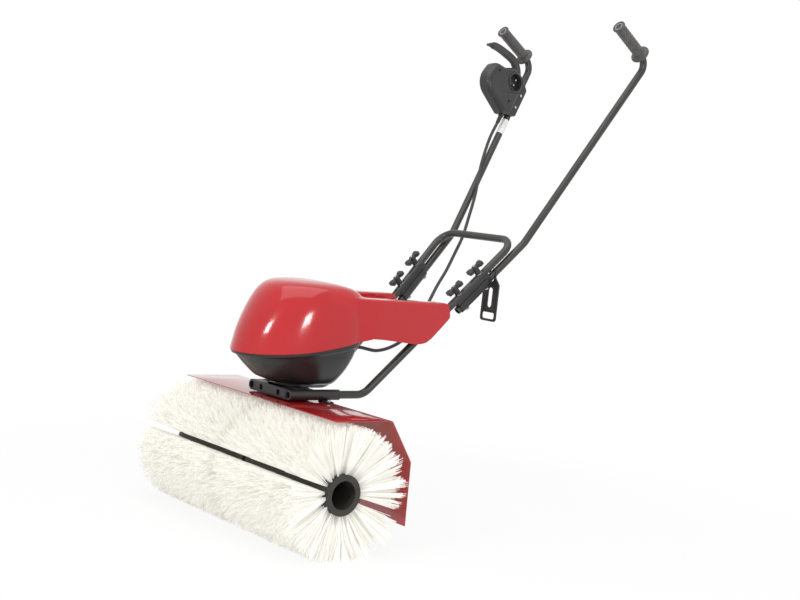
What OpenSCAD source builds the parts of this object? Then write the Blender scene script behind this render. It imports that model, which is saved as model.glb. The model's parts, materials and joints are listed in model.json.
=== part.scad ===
// Power brush sweeper: a wide rotary brush under a bent sheet guard, driven by a vertical motor
// through a worm gear, and steered by a tube handle with a lever switch at the right grip.
// X points to the operator's left, Y to the rear and Z up. Sizes are in millimetres.
// The places below are measured from the middle of the brush axle, and the finished machine stands
// on the floor with the origin under the middle of its length.

/* [Brush] */
// Length of the brush from hub end to hub end
brush_w = 620; // [580:5:680]
// Radius of the brush at the bristle tips
brush_r = 140; // [132:1:148]
// Outer radius of the hub shells
hub_r = 46; // [43:1:50]
// Wall of the hub shells
hub_wall = 14; // [10:1:16]
// Space between the two hubs
hub_gap = 46; // [45:1:56]
// Angle of the hub's joint line above the front
joint_turn = 18; // [0:1:40]
// Angle left without bristles at each joint line
bare_angle = 18; // [14:1:24]
// Rows of tufts around one hub shell
tuft_rows = 8; // [7:1:9]
// Tufts along one hub shell
tufts_along = 12; // [11:1:13]
// How far the outermost tufts lean outwards
tuft_lean = 26; // [0:1:34]
// Thickness of the strip that holds the bristles
strip_t = 2; // [1.5:0.5:4]

/* [Axle and gears] */
// Diameter of the axle
axle_d = 19; // [17:0.5:21]
// Length of the axle
axle_len = 280; // [264:2:320]
// Distance from the axle to the worm's axis
worm_centre = 45; // [44:0.5:48]
// Pitch radius of the worm
worm_r = 12; // [11.5:0.25:13]
// Length of the worm
worm_len = 44; // [36:1:48]
// Teeth of the worm wheel
wheel_teeth = 24; // [20:1:28]
// Width of the worm wheel
wheel_w = 12; // [10:1:14]
// Diameter of the motor shaft
shaft_d = 12; // [10:0.5:13]
// Width of the gear case across its two halves
case_w = 40; // [38:1:42]
// Wall of the gear case
case_wall = 7; // [5:0.5:9]
// How far the axle stands out of each drive hub
axle_out = 15; // [10:1:20]

/* [Guard] */
// Thickness of the guard's sheet
guard_t = 2; // [1.5:0.25:3]
// Clearance between the bristle tips and the guard's top face
guard_gap = 23; // [18:1:24]
// How far the guard reaches ahead of the axle
guard_front = 40; // [20:1:60]
// Where the guard's top ends behind the axle
guard_roof = 115; // [105:1:125]
// Clearance between the bristle tips and the guard's back
guard_room = 42; // [36:1:56]
// Height of the guard's knee above the axle
guard_knee = 67; // [55:1:80]
// How far the guard hangs below the axle
guard_drop = 80; // [60:1:95]
// Radius of the guard's bends
guard_bend = 14; // [6:1:20]

/* [Motor head] */
// Half width of the motor cover
head_half_w = 122; // [114:1:130]
// Middle of the motor head behind the axle
head_mid = 70; // [66:1:74]
// Length of the head's nose ahead of its middle
nose_len = 180; // [172:1:190]
// Length of the head's tail behind its middle
tail_len = 117; // [112:1:124]
// Height of the cover's crown above the guard
cover_rise = 277; // [262:1:292]
// Height of the bowl's floor above the guard
bowl_rise = 37; // [35:1:41]
// Wall of the cover and of the bowl
head_wall = 3; // [2:0.25:4]
// Radius of the motor's frame
motor_r = 48; // [46:1:52]
// Length of the motor's frame
motor_len = 130; // [120:1:140]
// Radius of the gear column under the bowl
column_r = 30; // [28:0.5:32]

/* [Handle] */
// Diameter of the handle tubes
tube_d = 19; // [17:0.5:21]
// Wall of the handle tubes
tube_wall = 1.5; // [1.2:0.1:2.5]
// Distance of each front tube from the middle
tube_x = 75; // [72:1:80]
// Height of the front tubes above the guard
tube_rise = 16; // [13:0.5:18]
// Where the front tubes start to rise
rise_y = 213; // [205:1:220]
// Half length of the crossbar
bar_half_w = 135; // [128:1:142]
// How far the crossbar lies behind the axle
bar_y = 601; // [592:1:610]
// Height of the crossbar above the guard
bar_rise = 417; // [407:1:427]
// Half distance between the grips
grip_half_w = 212; // [202:1:222]
// How far the handle's top bends lie behind the axle
grip_y = 929; // [920:1:940]
// Height of the handle's top bends above the guard
grip_rise = 910; // [897:1:923]
// Distance from each leg to the upper tube behind it
tube_step = 24.5; // [23.5:0.5:27]
// Place of the lower clamp bolt along the leg
clamp_at = 350; // [344:1:356]
// Distance between the two clamp bolts
clamp_pitch = 76; // [70:1:80]
// Diameter of the clamp bolts
clamp_bolt_d = 6; // [5:0.5:7]
// Length of the grips
grip_len = 115; // [105:1:125]
// Diameter of the grips
grip_d = 29; // [27:0.5:33]
// Diameter of the flange at the foot of each grip
grip_flange_d = 50; // [44:1:56]

/* [Knobs and hook] */
// Span of a knob's two wings
knob_span = 48; // [42:1:54]
// Height of a knob
knob_h = 22; // [18:0.5:25]
// Width of the cord hook
hook_w = 56; // [52:1:62]
// Length of the cord hook
hook_len = 134; // [128:1:142]
// Thickness of the cord hook
hook_t = 4; // [3:0.5:5]

/* [Switch] */
// Depth of the switch box on the inner side of the tube
box_in = 26; // [24:0.5:30]
// Depth of the switch box on the outer side of the tube
box_out = 14; // [13:0.5:18]
// Depth of the switch box where it lies over the tube
box_low = 14; // [13:0.5:18]
// Wall of the switch box
box_wall = 3; // [2:0.25:4]
// Radius of the power inlet
inlet_r = 26; // [23:0.5:27]
// Thickness of the switch lever
lever_t = 12; // [9:0.5:13]
// Diameter of the motor cable
cable_d = 8.5; // [7:0.5:9.5]

/* [Hidden] */
$fn = 64;

// Colours as the machine shows them
gloss_red = [0.78, 0.2, 0.22];
satin_black = [0.13, 0.13, 0.13];
tube_black = [0.18, 0.18, 0.18];
hub_grey = [0.27, 0.27, 0.25];
ivory = [0.92, 0.9, 0.84];
zinc = [0.76, 0.77, 0.78];
steel = [0.62, 0.63, 0.65];
bronze = [0.72, 0.52, 0.28];
copper = [0.72, 0.4, 0.22];

// Clearances: a turning fit, a part set beside another, and a part that must run free
run_gap = 0.05;
seat_gap = 0.1;
free_gap = 0.4;
over = 1;

// Heights above the axle: the guard clears the bristles, and the head and the handle stand on it
guard_top = brush_r + guard_gap;
guard_back = brush_r + guard_room;
bowl_floor = guard_top + bowl_rise;
cover_top = guard_top + cover_rise;
tube_z = guard_top + tube_rise;
bar_z = guard_top + bar_rise;
grip_z = guard_top + grip_rise;

// Vectors and frames
function unit(v) = v / norm(v);
function frame(x, y, z, o) = [
    [x[0], y[0], z[0], o[0]], [x[1], y[1], z[1], o[1]], [x[2], y[2], z[2], o[2]], [0, 0, 0, 1]];
function across(d) = unit(cross(d, abs(d[0]) < 0.9 ? [1, 0, 0] : [0, 0, 1]));
function flip(p) = [-p[0], p[1], p[2]];

// Flat outlines: offset paths and rounded corners
function left_of(v) = [-v[1], v[0]];
function reversed(p) = [for (i = [len(p) - 1 : -1 : 0]) p[i]];
function spin(v, a) = [v[0] * cos(a) - v[1] * sin(a), v[0] * sin(a) + v[1] * cos(a)];
function shifted(p, d) = [for (i = [0 : len(p) - 1])
    let (a = left_of(unit(p[max(i, 1)] - p[max(i, 1) - 1])),
         b = left_of(unit(p[min(i + 1, len(p) - 1)] - p[min(i, len(p) - 2)])))
    p[i] + (a + b) * d / (1 + a * b)];
function shrunk(p, d) = [for (i = [0 : len(p) - 1])
    let (n = len(p), a = left_of(unit(p[i] - p[(i + n - 1) % n])), b = left_of(unit(p[(i + 1) % n] - p[i])))
    p[i] + (a + b) * d / (1 + a * b)];
function corner(a, b, c, r, n = 5) =
    let (d = unit(b - a), e = unit(c - b), turn = atan2(d[0] * e[1] - d[1] * e[0], d * e),
         side = left_of(d) * sign(turn), middle = b - d * r * tan(abs(turn) / 2) + side * r)
    [for (k = [0 : n]) middle + spin(-side * r, turn * k / n)];
function rounded(p, r) = [for (i = [0 : len(p) - 1])
    each corner(p[(i + len(p) - 1) % len(p)], p[i], p[(i + 1) % len(p)], is_list(r) ? r[i] : r)];
function rounded_path(p, r) = [p[0],
    for (i = [1 : len(p) - 2]) each corner(p[i - 1], p[i], p[i + 1], r), p[len(p) - 1]];

// A flat outline in Y and Z, pushed from x0 to x1
module side_plate(x0, x1, outline)
    translate([x0, 0, 0]) rotate([90, 0, 90]) linear_extrude(x1 - x0) polygon(outline);

// A round bar from a to b, and a cylinder along X
module rod(a, b, r, r2 = -1) {
    d = unit(b - a);
    multmatrix(frame(across(d), cross(d, across(d)), d, a))
        cylinder(r1 = r, r2 = r2 < 0 ? r : r2, h = norm(b - a));
}
module x_rod(x0, x1, r) translate([x0, 0, 0]) rotate([0, 90, 0]) cylinder(r = r, h = x1 - x0);
module x_ring(x0, x1, r, hole) difference() {
    x_rod(x0, x1, r);
    x_rod(x0 - over, x1 + over, hole);
}
module ring(r, hole, h) difference() {
    cylinder(r = r, h = h);
    translate([0, 0, -over]) cylinder(r = hole, h = h + 2 * over);
}
module both_sides() {
    children();
    mirror([1, 0, 0]) children();
}

// A screw whose head sits on z = 0 and whose shank points down
module screw(d, len, head_r, head_h) {
    cylinder(r = head_r, h = head_h);
    translate([0, 0, -len]) cylinder(d = d, h = len + head_h / 2);
}
module hex_bolt(d, len, head_r, head_h) {
    cylinder(r = head_r, h = head_h, $fn = 6);
    translate([0, 0, -len]) cylinder(d = d, h = len + head_h / 2);
}

// A bent bar through the corners p, with bend radius r at each corner between the ends. The bends are
// drawn a little slimmer than the straights, and the straights reach a little way into them.
bend_draw = 0.04;
bend_joint = 0.3;
function trim(p, r, i) = (i == 0 || i == len(p) - 1) ? 0
    : r[i] * tan(acos(unit(p[i] - p[i - 1]) * unit(p[i + 1] - p[i])) / 2);
module bent_bar(p, r, bar_r, extra = 0) {
    for (i = [0 : len(p) - 2]) {
        d = unit(p[i + 1] - p[i]);
        rod(p[i] + d * (trim(p, r, i) - (i == 0 ? extra : bend_joint)),
            p[i + 1] - d * (trim(p, r, i + 1) - (i == len(p) - 2 ? extra : bend_joint)), bar_r);
    }
    for (i = [1 : len(p) - 2]) {
        d = unit(p[i] - p[i - 1]);
        e = unit(p[i + 1] - p[i]);
        inward = unit(e - d * (d * e));
        multmatrix(frame(-inward, d, cross(-inward, d), p[i] - d * trim(p, r, i) + inward * r[i]))
            rotate_extrude(angle = acos(d * e)) translate([r[i], 0]) circle(r = bar_r - bend_draw);
    }
}
module bent_tube(p, r) difference() {
    bent_bar(p, r, tube_d / 2);
    bent_bar(p, r, tube_d / 2 - tube_wall, over);
}

// Brush: angles run from the front over the top, and a shell covers half a turn
shell_start = [joint_turn, joint_turn + 180];
hub_inner_x = hub_gap / 2;
hub_outer_x = brush_w / 2;
tuft_cells_around = 2 * tuft_rows + 1;
tuft_cells_along = 2 * tufts_along + 1;
tuft_step = (180 - bare_angle) / tuft_cells_around;
tuft_fill = 0.9;
strip_r = (hub_r + seat_gap) / cos(tuft_step / 2);
function tuft_angle(half, row) = shell_start[half] + bare_angle / 2 + (2 * row + 1.5) * tuft_step;
function around(x, r, a) = [x, -r * cos(a), r * sin(a)];

// The machine stands on the lowest tuft, cut flat by a little
flat_depth = 0.5;
tuft_edges = [for (half = [0, 1], row = [0 : tuft_rows - 1], side = [-0.5, 0.5])
    tuft_angle(half, row) + side * tuft_fill * tuft_step];
axle_z = brush_r * max([for (a = tuft_edges) -sin(a)]) - flat_depth;
front_reach = brush_r * max([for (a = tuft_edges) cos(a)]);

// Gears
wheel_r = worm_centre - worm_r;
worm_lead = 2 * PI * wheel_r / wheel_teeth;
lead_angle = atan(worm_lead / (2 * PI * worm_r));
tooth_tall = 1.6;
tooth_root = 2.1;
thread_base = 4.4;
thread_tip = 2.2;
thread_steps = 24;
case_half = case_w / 2;
case_r = wheel_r + tooth_tall + 2 + case_wall;
worm_room_r = worm_r + tooth_tall + 1.4;
case_top = guard_top - guard_t;
case_flange = 12;
case_flange_half = 42;
worm_bottom = worm_len / 2 + 12;
bush_len = 8;
bush_r = axle_d / 2 + 4;
seal_len = 4;
case_bolt_d = 5;
case_bolts = [for (z = [58, case_top - 43], y = [-1, 1])
    [worm_centre + y * (worm_room_r + case_wall / 2), z]];

// Motor
bowl_floor_t = 6;
plate_t = 6;
frame_bottom = bowl_floor + bowl_floor_t;
frame_top = frame_bottom + motor_len;
frame_wall = 3;
stator_z = frame_bottom + 36;
stator_len = motor_len - 66;
coil_len = 10;
coil_gap = 2;
rotor_r = 25;
bearing_r = 14;
commutator_r = 14;
commutator_z = frame_top - plate_t - 20;
fan_z = frame_bottom + plate_t + 3;
fan_h = 9;
shaft_top = frame_top + 6;
bolt_circle = column_r + 9;
post_places = [[56, -8], [40, 52]];
post_r = 6;

// Handle frame: the leg, the upper tube behind it and the grip at its top
tube_r = tube_d / 2;
bracket_front = -6;
leg_foot = [tube_x, rise_y, tube_z];
leg_top = [bar_half_w, bar_y, bar_z];
leg_dir = unit(leg_top - leg_foot);
leg_back = unit([0, leg_dir[2], -leg_dir[1]]);
grip_corner = [grip_half_w, grip_y, grip_z];
overlap_start = clamp_at - 27;
kink_at = norm(leg_top - leg_foot) + 18;
kink = leg_foot + leg_dir * kink_at + leg_back * tube_step;
tube_up = unit(grip_corner - kink);
grip_dir = unit([0, -tube_up[2], tube_up[1]]);
grip_bend = 32;
leg_bends = [0, 45, 42, 42, 45, 0];
leg_path = [[tube_x, bracket_front, tube_z], leg_foot, leg_top, flip(leg_top), flip(leg_foot),
    [-tube_x, bracket_front, tube_z]];
upper_path = [leg_foot + leg_dir * overlap_start + leg_back * tube_step, kink, grip_corner,
    grip_corner + grip_dir * (grip_bend + grip_len - 4)];
upper_bends = [0, 60, grip_bend, 0];
clamp_spots = [clamp_at, clamp_at + clamp_pitch];
washer_t = 1.6;
hook_clear = 32;
hook_at = clamp_at + clamp_pitch + hook_clear;
rear_reach = grip_y - tube_up[1] * grip_bend + grip_dir[1] * grip_bend
    + grip_bend * norm([grip_dir[1], tube_up[1]]) + tube_r;
axle_y = (front_reach - rear_reach) / 2;

// Frames: on the floor, on the left leg with Z to the front, on the left grip with X along the grip
module at_axle() translate([0, axle_y, axle_z]) children();
module on_leg(at) multmatrix(frame(leg_dir, cross(-leg_back, leg_dir), -leg_back, leg_foot + leg_dir * at))
    children();
module on_grip() multmatrix(frame(grip_dir, tube_up, cross(grip_dir, tube_up), grip_corner)) children();
module on_right_grip() mirror([1, 0, 0]) on_grip() children();
module at_motor(z) translate([0, worm_centre, z]) children();

// The cable's route, chosen by eye: it follows the right tube on the grip's plane, then hangs over the
// head, with its height there given above the guard
cable_upper = [[27.5, -187.9, 5.9], [27, -229.7, 4.5], [26.7, -275.1, 2.7], [22.3, -321.9, 3.7],
    [17.3, -370.1, 8.5], [9, -416.4, 14.6], [-1.3, -463.6, 18.6]];
cable_lower = [[-121, 671, 466], [-105, 641, 409], [-88, 602, 359], [-67, 562, 318], [-48, 520, 279],
    [-27, 480, 240], [-8, 439, 200], [8, 400, 166], [18, 363, 140], [20, 322, 122], [20, 285, 115],
    [20, 258, 118], [20, 234, 122], [20, 212, 122], [20, 190, 122], [20, 160, 122]];
function on_right_tube(p) = flip(grip_corner + grip_dir * p[0] + tube_up * p[1]
    + cross(grip_dir, tube_up) * p[2]);
cable_route = concat([for (p = cable_upper) on_right_tube(p)],
    [for (p = cable_lower) p + [0, 0, guard_top]]);
cable_sides = 10;
cable_steps = 3;

// Motor head: outlines at rising levels between the seam and the crown, or down to the bowl's floor.
// Each level gives its height share, then its width, nose and tail as shares of the seam's.
cover_levels = [[0, 1, 1, 1], [0.1, 0.998, 0.98, 1], [0.3, 0.985, 0.93, 1], [0.5, 0.965, 0.85, 0.99],
    [0.68, 0.93, 0.76, 0.98], [0.82, 0.87, 0.67, 0.94], [0.92, 0.77, 0.57, 0.76],
    [0.975, 0.62, 0.44, 0.45], [1, 0.4, 0.28, 0.2]];
bowl_levels = [[0, 0.985, 0.985, 0.985], [0.06, 0.97, 0.955, 0.96], [0.36, 0.9, 0.84, 0.87],
    [0.62, 0.8, 0.73, 0.78], [0.85, 0.68, 0.61, 0.66], [0.955, 0.6, 0.48, 0.6], [1, 0.52, 0.42, 0.57]];
head_steps = 40;
seam_rise = 104;
seam_front = guard_top + seam_rise;
seam_slope = 0.089;
seam_curve = 0.00027;
tail_square = 0.5;
function seam(y) = let (run = y - head_mid + nose_len) seam_front + run * (seam_slope + run * seam_curve);
function rooted(v, p) = sign(v) * pow(abs(v), p);
function head_xy(level, inset, k) =
    let (a = 360 * k / head_steps, bow = sin(a) > 0 ? tail_square : 1,
         reach = sin(a) > 0 ? tail_len * level[3] : nose_len * level[2])
    [(head_half_w * level[1] - inset) * rooted(cos(a), bow), head_mid + (reach - inset) * rooted(sin(a),
        bow)];
function head_ring(level, inset, end, sink) = [for (k = [0 : head_steps - 1])
    let (p = head_xy(level, inset, k)) [p[0], p[1], (seam(p[1]) - sink) * (1 - level[0]) + end * level[0]]];

// A lofted shell closed at its end level: outer rings, inner rings and the rim between them
module head_shell(levels, outer_end, inner_end, wall, sink) {
    n = len(levels);
    m = head_steps;
    up = outer_end > inner_end;
    points = concat(
        [for (l = levels) each head_ring(l, 0, outer_end, sink)],
        [for (l = levels) each head_ring(l, wall, inner_end, sink)],
        [[0, head_mid, outer_end], [0, head_mid, inner_end]]);
    function at(layer, i, k) = layer * n * m + i * m + k % m;
    outer = [for (i = [0 : n - 2], k = [0 : m - 1]) each
        [[at(0, i, k), at(0, i + 1, k), at(0, i + 1, k + 1)], [at(0, i, k), at(0, i + 1, k + 1), at(0, i,
            k + 1)]]];
    inner = [for (i = [0 : n - 2], k = [0 : m - 1]) each
        [[at(1, i, k), at(1, i + 1, k + 1), at(1, i + 1, k)], [at(1, i, k), at(1, i, k + 1), at(1, i + 1,
            k + 1)]]];
    rim = [for (k = [0 : m - 1]) each
        [[at(0, 0, k), at(0, 0, k + 1), at(1, 0, k + 1)], [at(0, 0, k), at(1, 0, k + 1), at(1, 0, k)]]];
    caps = [for (k = [0 : m - 1]) each
        [[at(0, n - 1, k), 2 * n * m, at(0, n - 1, k + 1)], [at(1, n - 1, k), at(1, n - 1, k + 1),
            2 * n * m + 1]]];
    faces = concat(outer, inner, rim, caps);
    polyhedron(points, up ? faces : [for (f = faces) [f[0], f[2], f[1]]]);
}
module head_solid(levels, end, drop) {
    n = len(levels) + 1;
    m = head_steps;
    points = concat(head_ring(levels[0], 0, end, drop), [for (l = levels) each head_ring(l, 0, end, 0)],
        [[0, head_mid, end], [0, head_mid, seam(head_mid) - drop]]);
    function at(i, k) = i * m + k % m;
    faces = concat(
        [for (i = [0 : n - 2], k = [0 : m - 1]) each
            [[at(i, k), at(i + 1, k), at(i + 1, k + 1)], [at(i, k), at(i + 1, k + 1), at(i, k + 1)]]],
        [for (k = [0 : m - 1]) each
            [[at(n - 1, k), n * m, at(n - 1, k + 1)], [at(0, k), at(0, k + 1), n * m + 1]]]);
    polyhedron(points, faces);
}

// The cover's rear arm: its side outline above the guard, its plan outline and the leg's way through it
arm_rise = [[120, 152], [191, 156], [326, 146], [363, 157], [424, 217], [417, 249], [120, 249]];
arm_side = [for (p = arm_rise) [p[0], guard_top + p[1]]];
arm_inner_x = [72, 84];
arm_outer_x = head_half_w + 2;
arm_screw_y = 385;
arm_screw_d = 4;
module arm_block(inset) intersection() {
    side_plate(arm_inner_x[0], arm_outer_x, rounded(shrunk(arm_side, inset), [1, 8, 20, 20, 14, 16, 1]));
    linear_extrude(cover_top) polygon([[arm_inner_x[0] + inset, arm_side[0][0] - over],
        [arm_outer_x - inset, arm_side[0][0] - over], [arm_outer_x - inset, arm_side[4][0] + over],
        [arm_inner_x[1] + inset, arm_side[4][0] + over]]);
}
module cover_arm() difference() {
    arm_block(0);
    arm_block(head_wall);
    translate([0, 0, -head_wall - over]) arm_block(head_wall);
    translate([arm_inner_x[0] - over, arm_side[0][0] - over, 0])
        cube([arm_outer_x, head_mid + tail_len * 0.8 - arm_side[0][0], cover_top]);
    rod(leg_foot + leg_dir * 150, leg_top, tube_r + free_gap);
    translate([0, arm_screw_y, arm_screw_z]) x_rod(arm_inner_x[0] - over, arm_screw_at[0],
        arm_screw_d / 2 + seat_gap);
}
arm_screw_at = leg_foot + leg_dir * ((arm_screw_y - rise_y) / leg_dir[1]);
arm_screw_z = arm_screw_at[2];
arm_screw_share = (arm_screw_y - arm_side[0][0]) / (arm_side[4][0] - arm_side[0][0]);
arm_screw_seat = arm_inner_x[0] + (arm_inner_x[1] - arm_inner_x[0]) * arm_screw_share - free_gap;

module motor_cover() color(gloss_red) at_axle() difference() {
    union() {
        head_shell(cover_levels, cover_top, cover_top - head_wall, head_wall, 0);
        both_sides() cover_arm();
        intersection() {
            cover_posts(post_r, frame_bottom + seat_gap, cover_top);
            head_solid(cover_levels, cover_top, 2 * bowl_floor);
        }
    }
    cover_posts(cover_screw_d / 2 + seat_gap, bowl_floor, cover_screw_len + bowl_floor + 2);
}
cover_screw_d = 4;
cover_screw_len = 26;
module cover_posts(r, z0, z1) both_sides() for (p = post_places)
    translate([p[0], head_mid + p[1], z0]) cylinder(r = r, h = z1 - z0);

bowl_gap = 0.15;
cable_end = cable_route[len(cable_route) - 1];
gland_r = 9;
gland_grip = 16;
gland_len = 22;
module motor_bowl() color(satin_black) at_axle() difference() {
    head_shell(bowl_levels, bowl_floor, frame_bottom, head_wall, bowl_gap);
    at_motor(bowl_floor - over) cylinder(r = bearing_r + 2, h = bowl_floor_t + 2 * over);
    column_bolts(column_screw_d / 2 + seat_gap, bowl_floor - over, frame_bottom + over);
    column_bolts(column_head_r + seat_gap, frame_bottom - column_head_h, frame_bottom + over);
    cover_posts(cover_screw_d / 2 + seat_gap, bowl_floor - over, frame_bottom + over);
    cover_posts(cover_head_r + seat_gap, bowl_floor - over, bowl_floor + cover_head_h);
    translate([0, -over, 0]) rod(cable_end, cable_end + [0, 2 * gland_len, 0], gland_r + seat_gap);
}
cover_head_r = 4;
cover_head_h = 3;
module cover_screws() color(zinc) at_axle() {
    both_sides() for (p = post_places)
        translate([p[0], head_mid + p[1], bowl_floor + cover_head_h]) mirror([0, 0, 1])
            screw(cover_screw_d, cover_screw_len - cover_head_h, cover_head_r, cover_head_h);
    both_sides() translate([arm_screw_seat, arm_screw_y, arm_screw_z]) rotate([0, -90, 0])
        screw(arm_screw_d, arm_screw_at[0] - tube_r + 2 * tube_wall - arm_screw_seat, arm_screw_d,
            arm_screw_d / 2);
}

// Motor inside the head
module motor_frame() color(steel) at_axle() at_motor(frame_bottom) ring(motor_r, motor_r - frame_wall,
    motor_len);
module bearing_plates() color(satin_black) at_axle()
    for (z = [frame_bottom, frame_top - plate_t]) at_motor(z)
        ring(motor_r - frame_wall - seat_gap, bearing_r + seat_gap, plate_t);
module motor_bearings() color(steel) at_axle()
    for (z = [frame_bottom, frame_top - plate_t, worm_len / 2 + 8, -worm_bottom])
        at_motor(z) ring(bearing_r, shaft_d / 2 + run_gap, plate_t);
module field_stator() color(steel) at_axle() at_motor(stator_z)
    ring(motor_r - frame_wall - seat_gap, rotor_r + free_gap, stator_len);
module field_coils() color(copper) at_axle()
    for (z = [stator_z - coil_len, stator_z + stator_len]) at_motor(z) for (side = [0, 180]) rotate(side)
        difference() {
            ring(motor_r - frame_wall - coil_gap, rotor_r + 1.5 * coil_gap, coil_len);
            translate([-motor_r, -2 * motor_r + 1.5 * coil_gap, -over]) cube([2 * motor_r, 2 * motor_r,
                coil_len + 2 * over]);
        }
module carbon_brushes() color(tube_black) at_axle() both_sides() at_motor(commutator_z + 7)
    translate([commutator_r + free_gap, -4, 0])
        cube([motor_r - frame_wall - seat_gap - commutator_r - free_gap, 8, 8]);
module motor_shaft() color(steel) at_axle() at_motor(-worm_bottom) cylinder(d = shaft_d,
    h = shaft_top + worm_bottom);
module rotor_core() color(steel) at_axle() at_motor(stator_z) ring(rotor_r, shaft_d / 2, stator_len);
module commutator() color(copper) at_axle() at_motor(commutator_z) ring(commutator_r, shaft_d / 2, 16);
module cooling_fan() color(satin_black) at_axle() at_motor(fan_z) {
    ring(10, shaft_d / 2, fan_h);
    for (k = [0 : 7]) rotate(45 * k) translate([9, -1, 0]) cube([motor_r - frame_wall - 12, 2, fan_h]);
}

// Gear column between the guard and the bowl
column_screw_d = 5;
column_head_r = 4.5;
column_head_h = 3;
module column_bolts(r, z0, z1) for (k = [0 : 3]) at_motor(z0)
    rotate(90 * k) translate([(column_r + bearing_r + 2) / 2, 0, 0]) cylinder(r = r, h = z1 - z0);
module gear_column() color(satin_black) at_axle() difference() {
    at_motor(guard_top) ring(column_r, bearing_r + 2, bowl_floor - guard_top);
    column_bolts(column_screw_d / 2 + seat_gap, bowl_floor - 14, bowl_floor + over);
}
module column_screws() color(zinc) at_axle() for (k = [0 : 3]) at_motor(frame_bottom - column_head_h)
    rotate(90 * k) translate([(column_r + bearing_r + 2) / 2, 0, 0])
        screw(column_screw_d, bowl_floor_t - column_head_h + 12, column_head_r, column_head_h - seat_gap);

// Gear case: two halves that meet on the middle plane
case_side = [[worm_centre - worm_room_r - case_wall, -worm_bottom - case_wall],
    [worm_centre + worm_room_r + case_wall, -worm_bottom - case_wall],
    [worm_centre + worm_room_r + case_wall, case_top], [worm_centre - worm_room_r - case_wall, case_top]];
module case_body() {
    x_rod(0, case_half, case_r);
    side_plate(0, case_half, case_side);
    at_motor(case_top - case_flange) translate([0, -case_flange_half, 0])
        cube([case_flange_half, 2 * case_flange_half, case_flange]);
}
module gear_case_half() difference() {
    case_body();
    x_rod(-over, wheel_w / 2 + 2, wheel_r + tooth_tall + 2);
    x_rod(-over, case_half + over, axle_d / 2 + free_gap);
    x_rod(wheel_w / 2 + 2 - over, wheel_w / 2 + 2 + bush_len, bush_r + run_gap);
    x_rod(case_half - seal_len, case_half + over, bush_r + run_gap);
    at_motor(-worm_len / 2 - 4) cylinder(r = worm_room_r, h = worm_len + 8);
    at_motor(-worm_bottom) cylinder(r = bearing_r + run_gap, h = worm_bottom);
    at_motor(0) cylinder(r = bearing_r + run_gap, h = worm_len / 2 + 8 + plate_t);
    at_motor(0) cylinder(r = shaft_d / 2 + 2, h = guard_top);
    flange_bolts(bracket_bolt_d / 2 + seat_gap, case_top - case_flange - over, guard_top);
    for (b = case_bolts) translate([0, b[0], b[1]]) x_rod(-over, case_half + over,
        case_bolt_d / 2 + seat_gap);
}
module gear_case_left() color(satin_black) at_axle() gear_case_half();
module gear_case_right() color(satin_black) at_axle() mirror([1, 0, 0]) gear_case_half();
module gear_case_bolts() color(zinc) at_axle() for (b = case_bolts)
    translate([case_half, b[0], b[1]]) rotate([0, 90, 0]) screw(case_bolt_d, case_w, case_bolt_d * 0.8,
        2.5);
module axle_bushes() color(bronze) at_axle() both_sides()
    x_ring(wheel_w / 2 + 2, wheel_w / 2 + 2 + bush_len, bush_r, axle_d / 2 + run_gap);
module axle_seals() color(satin_black) at_axle() both_sides()
    x_ring(case_half - seal_len, case_half, bush_r, axle_d / 2 + run_gap);

// Worm and wheel: the thread passes through a gap of the wheel at rest
function thread_ring(k, turns) = let (a = 360 * turns * k / thread_steps,
    z = worm_lead * a / 360 - worm_lead * turns / 2)
    [for (p = [[worm_r - tooth_root - 0.3, -thread_base / 2], [worm_r - tooth_root - 0.3, thread_base / 2],
        [worm_r + tooth_tall, thread_tip / 2], [worm_r + tooth_tall, -thread_tip / 2]])
        [p[0] * cos(a), p[0] * sin(a), z + p[1]]];
module thread(turns) {
    n = thread_steps * turns;
    points = [for (k = [0 : n]) each thread_ring(k * 1 / turns, turns)];
    sides = [for (k = [0 : n - 1], i = [0 : 3]) let (j = (i + 1) % 4) each
        [[4 * k + i, 4 * k + 4 + i, 4 * k + 4 + j], [4 * k + i, 4 * k + 4 + j, 4 * k + j]]];
    polyhedron(points, concat(sides, [[0, 1, 2], [0, 2, 3], [4 * n + 3, 4 * n + 2, 4 * n + 1],
        [4 * n + 3, 4 * n + 1, 4 * n]]));
}
worm_turns = 2 * floor((worm_len - thread_base) / worm_lead / 2);
module worm() color(steel) at_axle() at_motor(0) {
    translate([0, 0, -worm_len / 2]) ring(worm_r - tooth_root, shaft_d / 2, worm_len);
    rotate(270) thread(worm_turns);
}
tooth_outline = [[wheel_r - tooth_root - 1, -2.3], [wheel_r + tooth_tall, -1.1], [wheel_r + tooth_tall,
    1.1],
    [wheel_r - tooth_root - 1, 2.3]];
module worm_wheel() color(bronze) at_axle() difference() {
    union() {
        x_rod(-wheel_w / 2, wheel_w / 2, wheel_r - tooth_root);
        for (k = [0 : wheel_teeth - 1]) rotate([360 * (k + 0.5) / wheel_teeth, 0, 0]) rotate([0,
            -lead_angle, 0])
            side_plate(-wheel_w / 2 + 0.2, wheel_w / 2 - 0.2, tooth_outline);
    }
    x_rod(-wheel_w, wheel_w, axle_d / 2);
    key_block(wheel_w + 2 * over, 0);
}
key_w = 5;
module key_block(len, gap) translate([-len / 2, -key_w / 2 - gap, axle_d / 2 - key_w / 2 - gap])
    cube([len, key_w + 2 * gap, key_w + 2 * gap]);
module wheel_key() color(steel) at_axle() key_block(wheel_w, -seat_gap / 2);
module axle() color(steel) at_axle() difference() {
    x_rod(-axle_len / 2, axle_len / 2, axle_d / 2);
    key_block(wheel_w, 0);
    for (x = [-hitch_x, hitch_x]) translate([x, 0, -axle_d]) cylinder(d = hitch_d, h = 2 * axle_d);
}

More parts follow.
